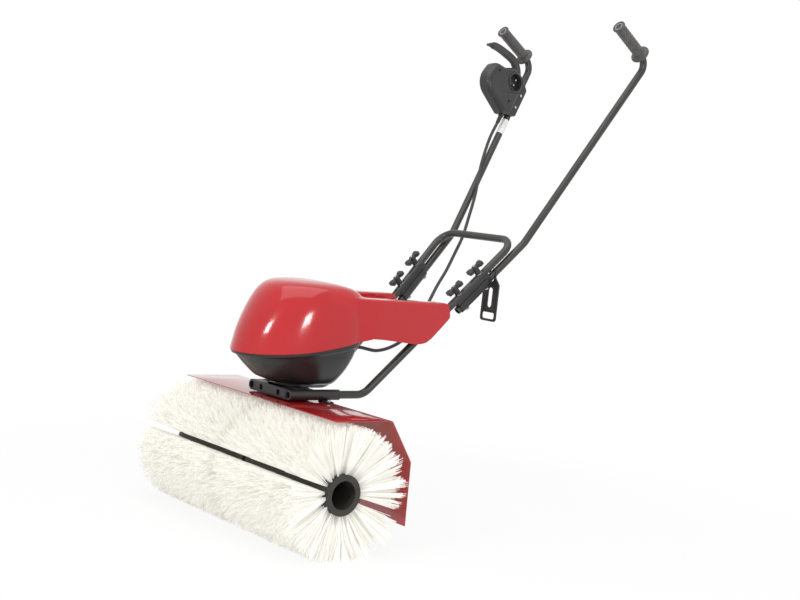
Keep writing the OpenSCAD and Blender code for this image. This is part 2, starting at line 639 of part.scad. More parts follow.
// Drive hubs on the axle, hub shells round them, their screws and the hitch pins
drive_hub_x = hub_inner_x + 2;
drive_hub_len = axle_len / 2 - drive_hub_x - axle_out;
drive_hub_r = axle_d / 2 + 7;
drive_flange_t = 10;
hitch_d = 6;
hitch_x = drive_hub_x + drive_hub_len - 8;
drive_flange_x = [drive_hub_x + 14, drive_hub_x + drive_hub_len - 30];
hub_screw_d = 3;
hub_screw_len = 9;
hub_bore = hub_r - hub_wall;
hub_screw_turns = [for (start = shell_start, side = [-1, 1]) start + side * bare_angle * 0.28];
module hub_screw_places(sink) for (x = drive_flange_x, a = hub_screw_turns)
    translate([x + drive_flange_t / 2, 0, 0]) rotate([90 - a, 0, 0]) translate([0, 0, hub_r - sink])
        children();
module drive_hubs() color(steel) at_axle() both_sides() difference() {
    union() {
        x_rod(drive_hub_x, drive_hub_x + drive_hub_len, drive_hub_r);
        for (x = drive_flange_x) x_rod(x, x + drive_flange_t, hub_bore - seat_gap);
    }
    x_rod(drive_hub_x - over, drive_hub_x + drive_hub_len + over, axle_d / 2);
    hub_screw_places(hub_wall + hub_screw_len) cylinder(d = hub_screw_d, h = hub_screw_len + over);
    translate([hitch_x, 0, -hub_r]) cylinder(d = hitch_d, h = 2 * hub_r);
}
module hub_shell(half) difference() {
    x_ring(hub_inner_x, hub_outer_x, hub_r, hub_bore);
    rotate([180 - shell_start[half], 0, 0]) translate([hub_inner_x - over, -2 * hub_r,
        -2 * hub_r + seat_gap / 2])
        cube([brush_w, 4 * hub_r, 2 * hub_r]);
    hub_screw_places(hub_wall + over) cylinder(d = hub_screw_d + 2 * seat_gap, h = hub_wall + 2 * over);
    hub_screw_places(hub_screw_sink) cylinder(r = hub_screw_head + seat_gap, h = hub_screw_sink + over);
}
hub_screw_head = 2.6;
hub_screw_sink = 4;
module hub_upper() color(hub_grey) at_axle() both_sides() hub_shell(0);
module hub_lower() color(hub_grey) at_axle() both_sides() hub_shell(1);
module hub_screws() color(zinc) at_axle() both_sides() hub_screw_places(hub_screw_sink)
    screw(hub_screw_d, hub_wall - hub_screw_sink + hub_screw_len - 2, hub_screw_head, hub_screw_sink - 1);
module hitch_pins() color(zinc) at_axle() both_sides() translate([hitch_x, 0, 0]) {
    translate([0, 0, -drive_hub_r - 5]) cylinder(d = hitch_d, h = 2 * drive_hub_r + 5);
    translate([0, 0, drive_hub_r]) cylinder(r = hitch_d * 0.8, h = 4);
}

// Bristles: a thin strip on each hub shell, cut into cells, with a tuft on every second cell
function cell_x(i) = hub_inner_x + (hub_outer_x - hub_inner_x) * i / tuft_cells_along;
function lean(i) = tuft_lean * pow((i + 1) / tuft_cells_along, 4);
function is_tuft(i, j) = i % 2 == 1 && j % 2 == 1;
module tuft_shell(half) {
    n = tuft_cells_along;
    m = tuft_cells_around;
    first = shell_start[half] + bare_angle / 2;
    function turn(j) = first + j * tuft_step;
    grid = [for (i = [0 : n], j = [0 : m]) around(cell_x(i), hub_r + strip_t, turn(j))];
    under = [for (j = [0 : m], x = [hub_inner_x, hub_outer_x]) around(x, strip_r, turn(j))];
    tips = [for (i = [1 : 2 : n - 1], j = [1 : 2 : m - 1]) each
        [for (c = [[0, 0], [1, 0], [1, 1], [0, 1]])
            around(cell_x(i + c[0]) + lean(i), brush_r, turn(j + 0.5) + (c[1] - 0.5)
                * tuft_fill * tuft_step)]];
    function at(i, j) = i * (m + 1) + j;
    function low(end, j) = len(grid) + 2 * j + end;
    function tip(i, j) = len(grid) + len(under) + 4 * ((i - 1) / 2 * tuft_rows + (j - 1) / 2);
    function quad(a, b, c, d) = [[a, d, c], [a, c, b]];
    function cell(i, j) = [at(i, j), at(i + 1, j), at(i + 1, j + 1), at(i, j + 1)];
    bare = [for (i = [0 : n - 1], j = [0 : m - 1]) if (!is_tuft(i, j)) let (c = cell(i, j))
        each quad(c[0], c[1], c[2], c[3])];
    tufts = [for (i = [1 : 2 : n - 1], j = [1 : 2 : m - 1]) let (c = cell(i, j), t = tip(i, j)) each concat(
        quad(t, t + 1, t + 2, t + 3),
        [for (k = [0 : 3]) let (q = (k + 1) % 4) each quad(c[k], c[q], t + q, t + k)])];
    below = [for (j = [0 : m - 1]) each concat(
        quad(low(0, j + 1), low(1, j + 1), low(1, j), low(0, j)),
        quad(low(0, j), at(0, j), at(0, j + 1), low(0, j + 1)),
        quad(low(1, j + 1), at(n, j + 1), at(n, j), low(1, j)))];
    edges = [for (i = [0 : n - 1]) each
        [[low(0, 0), at(i, 0), at(i + 1, 0)], [low(0, m), at(i + 1, m), at(i, m)]]];
    ends = [[low(0, 0), at(n, 0), low(1, 0)], [low(0, m), low(1, m), at(n, m)]];
    polyhedron(concat(grid, under, tips), concat(bare, tufts, below, edges, ends));
}
module bristle_side() difference() {
    for (half = [0, 1]) tuft_shell(half);
    translate([0, -brush_r, -axle_z - brush_r]) cube([brush_w, 2 * brush_r, brush_r]);
}
module bristles_left() color(ivory) at_axle() bristle_side();
module bristles_right() color(ivory) at_axle() mirror([1, 0, 0]) bristle_side();

// Guard: one bent sheet, with holes for the gear shaft and the bolts
guard_line = [[-guard_front, guard_top], [guard_roof, guard_top], [guard_back, guard_knee],
    [guard_back + 3, -guard_drop]];
guard_outline = concat(rounded_path(guard_line, guard_bend),
    reversed(rounded_path(shifted(guard_line, -guard_t), guard_bend - guard_t)));
bracket_bolt_d = 6;
guard_bolt_d = 5;
guard_bolt_y = 97;
guard_bolt_x = tube_x + 20;
module flange_bolts(r, z0, z1) for (k = [0 : 3]) at_motor(z0)
    rotate(45 + 90 * k) translate([bolt_circle, 0, 0]) cylinder(r = r, h = z1 - z0);
module guard() color(gloss_red) at_axle() difference() {
    side_plate(-brush_w / 2, brush_w / 2, guard_outline);
    at_motor(guard_top - 2 * guard_t) cylinder(r = bearing_r + 2, h = 3 * guard_t);
    flange_bolts(bracket_bolt_d / 2 + seat_gap, guard_top - 2 * guard_t, guard_top + over);
    both_sides() translate([guard_bolt_x, guard_bolt_y, guard_top - 2 * guard_t])
        cylinder(d = guard_bolt_d + 2 * seat_gap, h = 3 * guard_t);
}
tab_t = 4;
nut_h = 4;
module guard_bolts() color(zinc) at_axle() both_sides() translate([guard_bolt_x, guard_bolt_y,
    guard_top + tab_t]) {
    hex_bolt(guard_bolt_d, tab_t + guard_t + nut_h + 2, guard_bolt_d, 4);
    translate([0, 0, -tab_t - guard_t - nut_h]) difference() {
        cylinder(r = guard_bolt_d, h = nut_h, $fn = 6);
        translate([0, 0, -over]) cylinder(d = guard_bolt_d + 2 * run_gap, h = nut_h + 2 * over);
    }
}

// Handle bracket: a bar with two tube sleeves and a ring round the gear column
bracket_h = 25;
sleeve_r = tube_r + 3;
sleeve_end = 140;
bracket_low = tube_z - bracket_h / 2;
pocket = 12;
pocket_x = 35;
web_y = worm_centre + 10;
web_len = 30;
web_inset = 4;
module handle_bracket() color(satin_black) at_axle() difference() {
    union() {
        translate([-tube_x - sleeve_r / 2, bracket_front, bracket_low]) cube([2 * tube_x + sleeve_r,
            bracket_h, bracket_h]);
        both_sides() rod([tube_x, bracket_front, tube_z], [tube_x, sleeve_end, tube_z], sleeve_r);
        at_motor(bracket_low) cylinder(r = bolt_circle + 11, h = bracket_h);
        translate([-tube_x, web_y, bracket_low + web_inset]) cube([2 * tube_x, web_len,
            bracket_h - 2 * web_inset]);
        flange_bolts(9, guard_top, tube_z);
        both_sides() {
            translate([guard_bolt_x, guard_bolt_y, guard_top]) cylinder(r = 9, h = tab_t);
            translate([tube_x, guard_bolt_y - 9, guard_top]) cube([guard_bolt_x - tube_x, 18, tab_t]);
            translate([tube_x, guard_roof - 6, guard_top]) cylinder(r = 6, h = tube_z - guard_top);
        }
    }
    both_sides() rod([tube_x, bracket_front - over, tube_z], [tube_x, sleeve_end + over, tube_z],
        tube_r + seat_gap);
    at_motor(guard_top - over) cylinder(r = column_r + seat_gap, h = bowl_floor);
    flange_bolts(bracket_bolt_d / 2 + seat_gap, guard_top - over, bowl_floor);
    flange_bolts(bracket_bolt_d + seat_gap, bracket_low + bracket_h - bracket_bolt_d, bowl_floor);
    both_sides() translate([pocket_x - pocket / 2, bracket_front - over, tube_z - pocket / 2]) cube(pocket);
    both_sides() translate([guard_bolt_x, guard_bolt_y, guard_top - over])
        cylinder(d = guard_bolt_d + 2 * seat_gap, h = tab_t + 2 * over);
}
module bracket_bolts() color(zinc) at_axle() for (k = [0 : 3])
    at_motor(bracket_low + bracket_h - bracket_bolt_d) rotate(45 + 90 * k) translate([bolt_circle, 0, 0])
        hex_bolt(bracket_bolt_d, bracket_low + bracket_h - bracket_bolt_d - case_top + case_flange,
            bracket_bolt_d, 4);

// Handle tubes, drilled for the clamp bolts and screws
module clamp_holes() for (at = clamp_spots) on_leg(at)
    translate([0, 0, -2 * tube_step]) cylinder(d = clamp_bolt_d + 2 * seat_gap, h = 3 * tube_step);
module lower_handle() color(tube_black) at_axle() difference() {
    bent_tube(leg_path, leg_bends);
    both_sides() clamp_holes();
    both_sides() translate([0, arm_screw_y, arm_screw_z])
        x_rod(arm_inner_x[0], arm_screw_at[0], arm_screw_d / 2 + seat_gap);
}
module upper_handle() difference() {
    bent_tube(upper_path, upper_bends);
    clamp_holes();
}
module upper_handle_left() color(tube_black) at_axle() upper_handle();
module upper_handle_right() color(tube_black) at_axle() mirror([1, 0, 0]) difference() {
    upper_handle();
    on_grip() for (p = tube_screws) translate([p[0], p[1], 0]) cylinder(d = box_screw_d + 2 * seat_gap,
        h = tube_d);
}

// Clamps: a saddle between the tubes, bolts, washers and two-wing knobs
saddle_w = tube_d + 2;
saddle_end = 18;
saddle_top = 8;
saddle_wall = 3;
saddle_wrap_w = tube_d + 2 * saddle_wall;
saddle_back = tube_step + tube_r + saddle_wall;
module clamp_saddles() color(satin_black) at_axle() both_sides() difference() {
    on_leg(clamp_at) {
        translate([-saddle_end, -saddle_w / 2, -tube_step]) cube([clamp_pitch + 2 * saddle_end, saddle_w,
            tube_step]);
        translate([-saddle_end, -saddle_wrap_w / 2, -saddle_back])
            cube([clamp_pitch + saddle_end + saddle_top, saddle_wrap_w, saddle_back - tube_step / 2]);
    }
    rod(leg_foot, leg_top, tube_r + seat_gap);
    rod(leg_foot + leg_back * tube_step, leg_top + leg_back * tube_step, tube_r + seat_gap);
    clamp_holes();
}
bolt_head_h = 4;
knob_gap = 0.3;
knob_base = tube_r + seat_gap + washer_t + knob_gap;
module clamp_bolts() color(zinc) at_axle() both_sides() for (at = clamp_spots) on_leg(at)
    translate([0, 0, -saddle_back - bolt_head_h]) {
        cylinder(d = clamp_bolt_d, h = bolt_head_h + saddle_back + knob_base + knob_h + 1.5);
        cylinder(d = 2 * clamp_bolt_d, h = bolt_head_h);
    }
module clamp_washers() color(zinc) at_axle() both_sides() for (at = clamp_spots) on_leg(at)
    translate([0, 0, tube_r + seat_gap]) ring(clamp_bolt_d + 3, clamp_bolt_d / 2 + run_gap, washer_t);
knob_hub_r = 8;
wing_t = 9;
wing_h = 12;
module knob() translate([0, 0, knob_base]) difference() {
    union() {
        cylinder(r = knob_hub_r, h = knob_h);
        translate([-knob_span / 2 + wing_t / 2, -wing_t / 2, knob_h - wing_h])
            cube([knob_span - wing_t, wing_t, wing_h - 1]);
        for (x = [-1, 1]) translate([x * (knob_span / 2 - wing_t / 2), 0, knob_h - wing_h])
            cylinder(d = wing_t, h = wing_h + 1);
    }
    translate([0, 0, -over]) cylinder(r = clamp_bolt_d / 2 + run_gap, h = knob_h + 3 * over);
}
module knob_left_lower() color(satin_black) at_axle() on_leg(clamp_spots[0]) knob();
module knob_left_upper() color(satin_black) at_axle() on_leg(clamp_spots[1]) knob();
module knob_right_lower() color(satin_black) at_axle() mirror([1, 0, 0]) on_leg(clamp_spots[0]) knob();
module knob_right_upper() color(satin_black) at_axle() mirror([1, 0, 0]) on_leg(clamp_spots[1]) knob();

// Grips
grip_rim = 2.5;
grip_flange_t = 9;
module grip() on_grip() translate([grip_bend, 0, 0]) rotate([0, 90, 0]) difference() {
    union() {
        cylinder(d = grip_d, h = grip_len);
        cylinder(d = grip_flange_d, h = grip_flange_t);
        translate([0, 0, grip_len - 5]) cylinder(r = grip_d / 2 + grip_rim, h = 5);
    }
    translate([0, 0, -over]) cylinder(r = tube_r + seat_gap, h = grip_len - 4 + 2 * over);
    translate([0, 0, grip_len - 2]) cylinder(r = grip_d / 2 - grip_rim, h = 3);
}
module grip_left() color(satin_black) at_axle() grip();
module grip_right() color(satin_black) at_axle() mirror([1, 0, 0]) grip();

// Cord hook: a flat plate that hangs on the left upper tube and swings round it
hook_eye = tube_r + free_gap;
hook_eye_up = (hook_eye + hook_t / 2 * leg_dir[2]) / leg_dir[1];
hook_rim = 5;
hook_top = hook_eye_up + 1.6;
hook_low = hook_eye_up + hook_rim;
hook_half = hook_eye + hook_rim - 1.5;
hook_post = leg_foot + leg_dir * hook_at + leg_back * tube_step;
hook_arch = [for (a = [0 : 30 : 180]) [hook_half * cos(a), hook_top * sin(a)]];
hook_outline = concat(hook_arch, [[-hook_half, -hook_low], [-hook_w / 2, -hook_low - 12],
    [-hook_w / 2, hook_top - hook_len], [hook_w / 2, hook_top - hook_len], [hook_w / 2, -hook_low - 2],
    [hook_half, -6]]);
hook_radii = concat([for (p = hook_arch) 6], [4, 5, 5, 5, 5, 4]);
slot_w = 15;
slot_top = -hook_low - 10;
window_w = hook_w - 14;
window_h = 16;
window_rim = 6;
window_top = hook_top - hook_len + window_rim + window_h;
hook_bridge = 12.6;
slot_len = slot_top - window_top - hook_bridge;
module hook_cut(x, top, w, h) translate([x - w / 2, -hook_t, top - h]) cube([w, 2 * hook_t, h]);
module cord_hook() color(satin_black) at_axle() translate(hook_post) difference() {
    translate([0, hook_t / 2, 0]) rotate([90, 0, 0]) linear_extrude(hook_t)
        polygon(rounded(hook_outline, hook_radii));
    rod(-leg_dir * 30, leg_dir * 30, hook_eye);
    hook_cut(0, slot_top - slot_w / 2, slot_w, slot_len - slot_w);
    for (z = [slot_top - slot_w / 2, slot_top - slot_len + slot_w / 2])
        translate([0, hook_t, z]) rotate([90, 0, 0]) cylinder(d = slot_w, h = 2 * hook_t);
    hook_cut(0, window_top, window_w, window_h);
}

// Switch box round the right tube, drawn on the grip's plane: X along the grip, Y up the tube
box_outline = [[-13, -176], [38, -205], [151, -178], [137, -102], [97, -91], [67, -66], [13, -68], [-13,
    -86]];
box_radii = [5, 8, 45, 22, 10, 14, 8, 8];
box_posts = [[117, -118], [41, -166]];
tube_screws = [[0, -113], [0, -154]];
box_screw_d = 4;
lever_pivot = [21, -80];
lever_pin_d = 6;
inlet_at = [47, -105];
inlet_depth = 16;
lever_slot = 55;
lever_boss_r = 8.2;
cavity_from = 12;
module box_block(z0, z1, inset) translate([0, 0, z0]) linear_extrude(z1 - z0)
    polygon(rounded(shrunk(box_outline, inset), [for (r = box_radii) max(r - inset, 1)]));
module boot_cut() {
    d = unit(cable_route[1] - cable_route[0]);
    rod(cable_route[0] - d, cable_route[0] + d * (boot_len + over), boot_r + seat_gap);
}
module box_cavity(z0, z1) intersection() {
    box_block(z0, z1, box_wall);
    translate([cavity_from, -300, z0]) cube([300, 300, z1 - z0]);
}
module box_cuts() {
    rotate([90, 0, 0]) cylinder(r = tube_r + seat_gap, h = 300);
    translate([lever_pivot[0] - lever_boss_r - free_gap, lever_pivot[1] - lever_boss_r - free_gap,
        -lever_t / 2 - 1]) cube([lever_slot, 40, lever_t + 2]);
    translate([lever_pivot[0], lever_pivot[1], -box_out + 1.5]) cylinder(d = lever_pin_d + 2 * run_gap,
        h = box_in + box_out - 5);
    for (p = box_posts) translate([p[0], p[1], -box_out + 2]) cylinder(d = box_screw_d + 2 * seat_gap,
        h = box_in + box_out);
    for (p = box_posts) translate([p[0], p[1], box_in - 8]) cylinder(r = box_screw_d + seat_gap,
        h = 8 + over);
    for (p = tube_screws) translate([p[0], p[1], 0]) cylinder(d = box_screw_d + 2 * seat_gap,
        h = box_in + over);
    translate([-box_in, -300, box_low]) cube([box_in + cavity_from - 1, 300, box_in]);
}
module switch_box_inner() color(satin_black) at_axle() difference() {
    on_right_grip() difference() {
        union() {
            difference() {
                box_block(seat_gap / 2, box_in, 0);
                box_cavity(-over, box_in - box_wall);
            }
            for (p = box_posts) translate([p[0], p[1], seat_gap / 2]) cylinder(r = 7, h = box_in - 1);
            translate([lever_pivot[0], lever_pivot[1], lever_t / 2 + 1]) cylinder(r = 6,
                h = box_in - lever_t / 2 - 2);
        }
        box_cuts();
        translate([inlet_at[0], inlet_at[1], -over]) cylinder(r = inlet_r + seat_gap,
            h = box_in + 2 * over);
    }
    boot_cut();
}
module switch_box_outer() color(satin_black) at_axle() difference() {
    on_right_grip() difference() {
        union() {
            difference() {
                box_block(-box_out, -seat_gap / 2, 0);
                box_cavity(-box_out + box_wall, over);
            }
            for (p = box_posts) translate([p[0], p[1], -box_out + 1]) cylinder(r = 7,
                h = box_out - 1 - seat_gap / 2);
            translate([lever_pivot[0], lever_pivot[1], -box_out + 1]) cylinder(r = 6,
                h = box_out - lever_t / 2 - 2);
        }
        box_cuts();
    }
    boot_cut();
}
module switch_box_screws() color(zinc) at_axle() on_right_grip() {
    for (p = box_posts) translate([p[0], p[1], box_in - 8]) screw(box_screw_d, box_in + box_out - 12,
        box_screw_d, 3);
    for (p = tube_screws) translate([p[0], p[1], box_low])
        screw(box_screw_d, box_low - tube_r + 2 * tube_wall, box_screw_d, 2);
}
inlet_floor = box_in - inlet_depth;
module power_inlet() color(satin_black) at_axle() on_right_grip() translate([inlet_at[0], inlet_at[1],
    inlet_floor - 3]) difference() {
    cylinder(r = inlet_r, h = inlet_depth + 3);
    translate([0, 0, 3]) cylinder(r = inlet_r - 2.5, h = inlet_depth + over);
    for (y = [-pin_half, pin_half]) translate([0, y, -over]) cylinder(d = pin_d, h = 3 + 2 * over);
}
pin_d = 5;
pin_half = 8.5;
module inlet_pins() color(zinc) at_axle() on_right_grip() for (y = [-pin_half, pin_half])
    translate([inlet_at[0], inlet_at[1] + y, inlet_floor - 3]) cylinder(d = pin_d, h = inlet_depth);
module micro_switch() color(tube_black) at_axle() on_right_grip() {
    translate([49, -116, -box_out + box_wall]) cube([20, 8, 8]);
    translate([57, -108, -box_out + box_wall + 2]) cube([4, 2, 4]);
}
module lever_pin() color(steel) at_axle() on_right_grip()
    translate([lever_pivot[0], lever_pivot[1], -box_out + 1.5]) cylinder(d = lever_pin_d,
        h = box_in + box_out - 6);
module lever_spring() color(steel) at_axle() on_right_grip() translate([lever_pivot[0],
    lever_pivot[1] - 17, -box_out + box_wall])
    ring(5, 3.5, 6);

// Switch lever: a bent blade that turns on its pin towards the grip
lever_line = [lever_pivot, [42, -53], [64, -37], [104, -40], [148, -52], [173, -70]];
lever_wide = [7, 8, 8, 7, 6, 4];
lever_deep = [7, 10, 13, 13, 11, 4];
lever_normal = [for (p = shifted(lever_line, 1)) p];
lever_upper = [for (i = [0 : 5]) lever_line[i] + (lever_normal[i] - lever_line[i]) * lever_wide[i]];
lever_lower = [for (i = [5 : -1 : 0]) lever_line[i] - (lever_normal[i] - lever_line[i]) * lever_deep[i]];
module switch_lever() color(satin_black) at_axle() on_right_grip() translate([0, 0, -lever_t / 2])
    difference() {
    union() {
        linear_extrude(lever_t) polygon(rounded(concat(lever_upper, lever_lower), 2.5));
        translate([lever_pivot[0], lever_pivot[1], 0]) cylinder(r = lever_boss_r, h = lever_t);
        translate([lever_line[5][0], lever_line[5][1], 0]) cylinder(r = lever_wide[5] + 1.2, h = lever_t);
    }
    translate([lever_pivot[0], lever_pivot[1], -over]) cylinder(r = lever_pin_d / 2 + run_gap,
        h = lever_t + 2 * over);
}

// Motor cable: one round tube along its route, with a gland at each end
function smooth(a, b, c, d, t) = 0.5 * (2 * b + (c - a) * t + (2 * a - 5 * b + 4 * c - d) * t * t
    + (3 * b - a - 3 * c + d) * t * t * t);
cable_last = len(cable_route) - 1;
cable_points = [for (i = [0 : cable_last - 1], k = [0 : cable_steps - 1])
    smooth(cable_route[max(i - 1, 0)], cable_route[i], cable_route[i + 1], cable_route[min(i + 2,
        cable_last)], k / cable_steps),
    cable_route[cable_last]];
module cable_body() {
    n = len(cable_points);
    m = cable_sides;
    function way(i) = unit(cable_points[min(i + 1, n - 1)] - cable_points[max(i - 1, 0)]);
    points = [for (i = [0 : n - 1]) let (d = way(i), s = unit(cross([1, 0, 0], d)), t = cross(d, s)) each
        [for (k = [0 : m - 1]) cable_points[i] + cable_d / 2 * (s * cos(360 * k / m)
            + t * sin(360 * k / m))]];
    sides = [for (i = [0 : n - 2], k = [0 : m - 1]) let (q = (k + 1) % m) each
        [[i * m + k, i * m + m + k, i * m + m + q], [i * m + k, i * m + m + q, i * m + q]]];
    ends = [for (k = [1 : m - 2]) each [[0, k, k + 1], [n * m - 1, n * m - 1 - k, n * m - 2 - k]]];
    polyhedron(points, concat(sides, ends));
}
module motor_cable() color(tube_black) at_axle() cable_body();
boot_r = 7;
boot_len = 40;
module turned(from, to, profile) {
    d = unit(to - from);
    multmatrix(frame(across(d), cross(d, across(d)), d, from)) rotate_extrude() polygon(profile);
}
module cable_glands() color(satin_black) at_axle() {
    hole = cable_d / 2 + seat_gap;
    turned(cable_route[0], cable_route[1],
        [[hole, 0], [boot_r, 0], [boot_r, 18], [boot_r - 1.5, boot_len], [hole, boot_len]]);
    turned(cable_end, cable_end + [0, 1, 0],
        [[hole, 0], [gland_r, 0], [gland_r, gland_grip], [gland_r - 1, gland_grip],
            [gland_r - 3, gland_grip + gland_len], [hole, gland_grip + gland_len]]);
}

motor_cover();
motor_bowl();
cover_screws();
motor_frame();
field_stator();
field_coils();
bearing_plates();
motor_bearings();
carbon_brushes();
gear_column();
column_screws();
gear_case_left();
gear_case_right();
gear_case_bolts();
axle_bushes();
axle_seals();
handle_bracket();
bracket_bolts();
guard();
guard_bolts();
lower_handle();
upper_handle_left();
upper_handle_right();
clamp_saddles();
clamp_bolts();
clamp_washers();
grip_left();
grip_right();
switch_box_inner();
switch_box_outer();
switch_box_screws();
power_inlet();
inlet_pins();
micro_switch();
lever_pin();
lever_spring();
motor_cable();
cable_glands();
axle();
wheel_key();
worm_wheel();
drive_hubs();
hub_upper();
hub_lower();
hub_screws();
hitch_pins();
bristles_left();
bristles_right();
motor_shaft();
worm();
rotor_core();
commutator();
cooling_fan();
switch_lever();
knob_left_lower();
knob_left_upper();
knob_right_lower();
knob_right_upper();
cord_hook();
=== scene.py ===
# %% [markdown]
# # A power brush sweeper, dressed piece by piece
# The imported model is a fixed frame: every solid already sits in its place, in metres, with the floor
# at zero. This lesson keeps the hidden solids, gives each of them a finish, and builds finer pieces over
# the ones that show: a moulded cover, bent tubes, moulded knobs and some fifty thousand bristles.

# %% Load the frame
import json
import math

import bmesh
import bpy
import numpy as np
from mathutils import Matrix, Vector


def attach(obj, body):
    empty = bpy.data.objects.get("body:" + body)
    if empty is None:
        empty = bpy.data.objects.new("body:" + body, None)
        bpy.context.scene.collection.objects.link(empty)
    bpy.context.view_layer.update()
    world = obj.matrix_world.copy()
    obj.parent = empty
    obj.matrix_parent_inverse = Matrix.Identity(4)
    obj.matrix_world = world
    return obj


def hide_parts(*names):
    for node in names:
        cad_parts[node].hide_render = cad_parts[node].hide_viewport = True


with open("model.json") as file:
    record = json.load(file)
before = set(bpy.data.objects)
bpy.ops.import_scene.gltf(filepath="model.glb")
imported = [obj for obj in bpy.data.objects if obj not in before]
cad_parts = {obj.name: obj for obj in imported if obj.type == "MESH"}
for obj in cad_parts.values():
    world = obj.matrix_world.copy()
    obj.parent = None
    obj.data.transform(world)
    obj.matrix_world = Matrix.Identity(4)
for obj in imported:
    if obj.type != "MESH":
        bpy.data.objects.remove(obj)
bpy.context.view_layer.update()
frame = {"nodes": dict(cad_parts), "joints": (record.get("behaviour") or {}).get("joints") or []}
scene = bpy.context.scene
joints = {j["name"]: j for j in frame["joints"]}
axle = Vector(joints["brush_spin"]["pos_m"])
MM = 0.001
to_frame = Matrix.Translation(axle) @ Matrix.Scale(MM, 4)

# %% [markdown]
# ## Camera
# The camera stands where the photograph was taken. Its place and turn were solved from the machine's own
# straight lines, in millimetres from the middle of the brush axle, which is the origin of every size below.


# %% Camera
def stand(name, data):
    """An object that holds some data, placed in the scene."""
    thing = bpy.data.objects.new(name, data)
    scene.collection.objects.link(thing)
    return thing


image_width, sensor_width = 800, 36
focal_pixels = 1355.03
camera_place = Vector((2567.8, -1808.8, 630.3))
camera_right = Vector((0.63540, 0.76444, 0.10885))
camera_down = Vector((0.12132, 0.04006, -0.99175))
camera_ahead = Vector((-0.76245, 0.64360, -0.06752))
camera_data = bpy.data.cameras.new("photo_camera")
camera_data.sensor_fit = "HORIZONTAL"
camera_data.sensor_width = sensor_width
camera_data.lens = sensor_width * focal_pixels / image_width
camera = stand("photo_camera", camera_data)
camera_turn = Matrix((camera_right, -camera_down, -camera_ahead)).transposed().to_4x4()
camera.matrix_world = Matrix.Translation(to_frame @ camera_place) @ camera_turn
scene.camera = camera
print("lens", round(camera_data.lens, 2), "mm")

# %% [markdown]
# ## Shared surface effect
# New paint and moulded plastic are never one flat colour. Slow changes of tone come from the moulding or
# the coat, and a fine grain breaks up the gloss. One node group gives both, so each finish only sets its
# own colours, scales and limits. It puts out a colour, a roughness and a height for the bump.


# %% Node helpers
def fill(tree, box, inputs):
    """Sets each named input of a node to a value, or wires it to a socket."""
    for name, value in inputs.items():
        value = getattr(value, "socket", value)
        if isinstance(value, bpy.types.NodeSocket):
            tree.links.new(value, box.inputs[name])
        else:
            box.inputs[name].default_value = value
    return box


def node(tree, kind, inputs=None, **settings):
    """A new node with its settings made and its inputs filled."""
    box = tree.nodes.new(kind)
    for name, value in settings.items():
        setattr(box, name, value)
    return fill(tree, box, inputs or {})


def sockets(tree, way, *rows):
    """Named sockets on the outside of a node group, some with a first value."""
    for label, kind, *value in rows:
        socket = tree.interface.new_socket(label, in_out=way, socket_type="NodeSocket" + kind)
        if value:
            socket.default_value = value[0]


def colour(code):
    """A linear colour from a six-digit screen colour."""
    parts = [int(code[i : i + 2], 16) / 255 for i in (0, 2, 4)]
    return [p / 12.92 if p <= 0.04045 else ((p + 0.055) / 1.055) ** 2.4 for p in parts] + [1]


# %% Surface group
def surface_group():
    tree = bpy.data.node_groups.new("moulded_surface", "ShaderNodeTree")
    sockets(tree, "INPUT", ("Base", "Color"), ("Worn", "Color"), ("Patch Scale", "Float"),
            ("Grain Scale", "Float"), ("Rough Low", "Float"), ("Rough High", "Float"))
    sockets(tree, "OUTPUT", ("Color", "Color"), ("Roughness", "Float"), ("Height", "Float"))
    given = node(tree, "NodeGroupInput").outputs
    place = node(tree, "ShaderNodeTexCoord").outputs["Object"]
    patches, grain = (node(tree, "ShaderNodeTexNoise", {
        "Vector": place, "Scale": given[scale], "Detail": detail}).outputs["Fac"]
        for scale, detail in (("Patch Scale", 3), ("Grain Scale", 2)))
    share = node(tree, "ShaderNodeMapRange", {"Value": patches, "From Min": 0.35, "From Max": 0.7})
    blend = node(tree, "ShaderNodeMix", {
        "Factor": share.outputs["Result"], 6: given["Base"], 7: given["Worn"]}, data_type="RGBA")
    rough = node(tree, "ShaderNodeMapRange", {
        "Value": patches, "To Min": given["Rough Low"], "To Max": given["Rough High"]})
    node(tree, "NodeGroupOutput", {
        "Color": blend.outputs[2], "Roughness": rough.outputs["Result"], "Height": grain})
    return tree


moulded_surface = surface_group()


# %% [markdown]
# ## Finishes
# Each finish is a Principled shader in its own material, with the shared group for what varies. The red
# cover is gloss plastic with a clear skin, the guard is gloss powder coat, the tubes are satin paint, and
# the small hardware is bright zinc. Constant values stay on the shader's own sockets.


# %% Finishes
def new_material(name):
    material = bpy.data.materials.new(name)
    material.use_nodes = True
    return material, material.node_tree


def finish(name, base, worn, rough, grain, patch, bump, metal=0.0, coat=0.0, gloss=0.5):
    material, tree = new_material(name)
    varied = node(tree, "ShaderNodeGroup", {
        "Base": colour(base), "Worn": colour(worn), "Patch Scale": patch, "Grain Scale": grain,
        "Rough Low": rough[0], "Rough High": rough[1]}, node_tree=moulded_surface).outputs
    relief = node(tree, "ShaderNodeBump", {"Strength": bump, "Distance": MM, "Height": varied["Height"]})
    fill(tree, tree.nodes["Principled BSDF"], {
        "Base Color": varied["Color"], "Roughness": varied["Roughness"], "Normal": relief.outputs["Normal"],
        "Metallic": metal, "Specular IOR Level": gloss, "Coat Weight": coat, "Coat Roughness": 0.06})
    return material


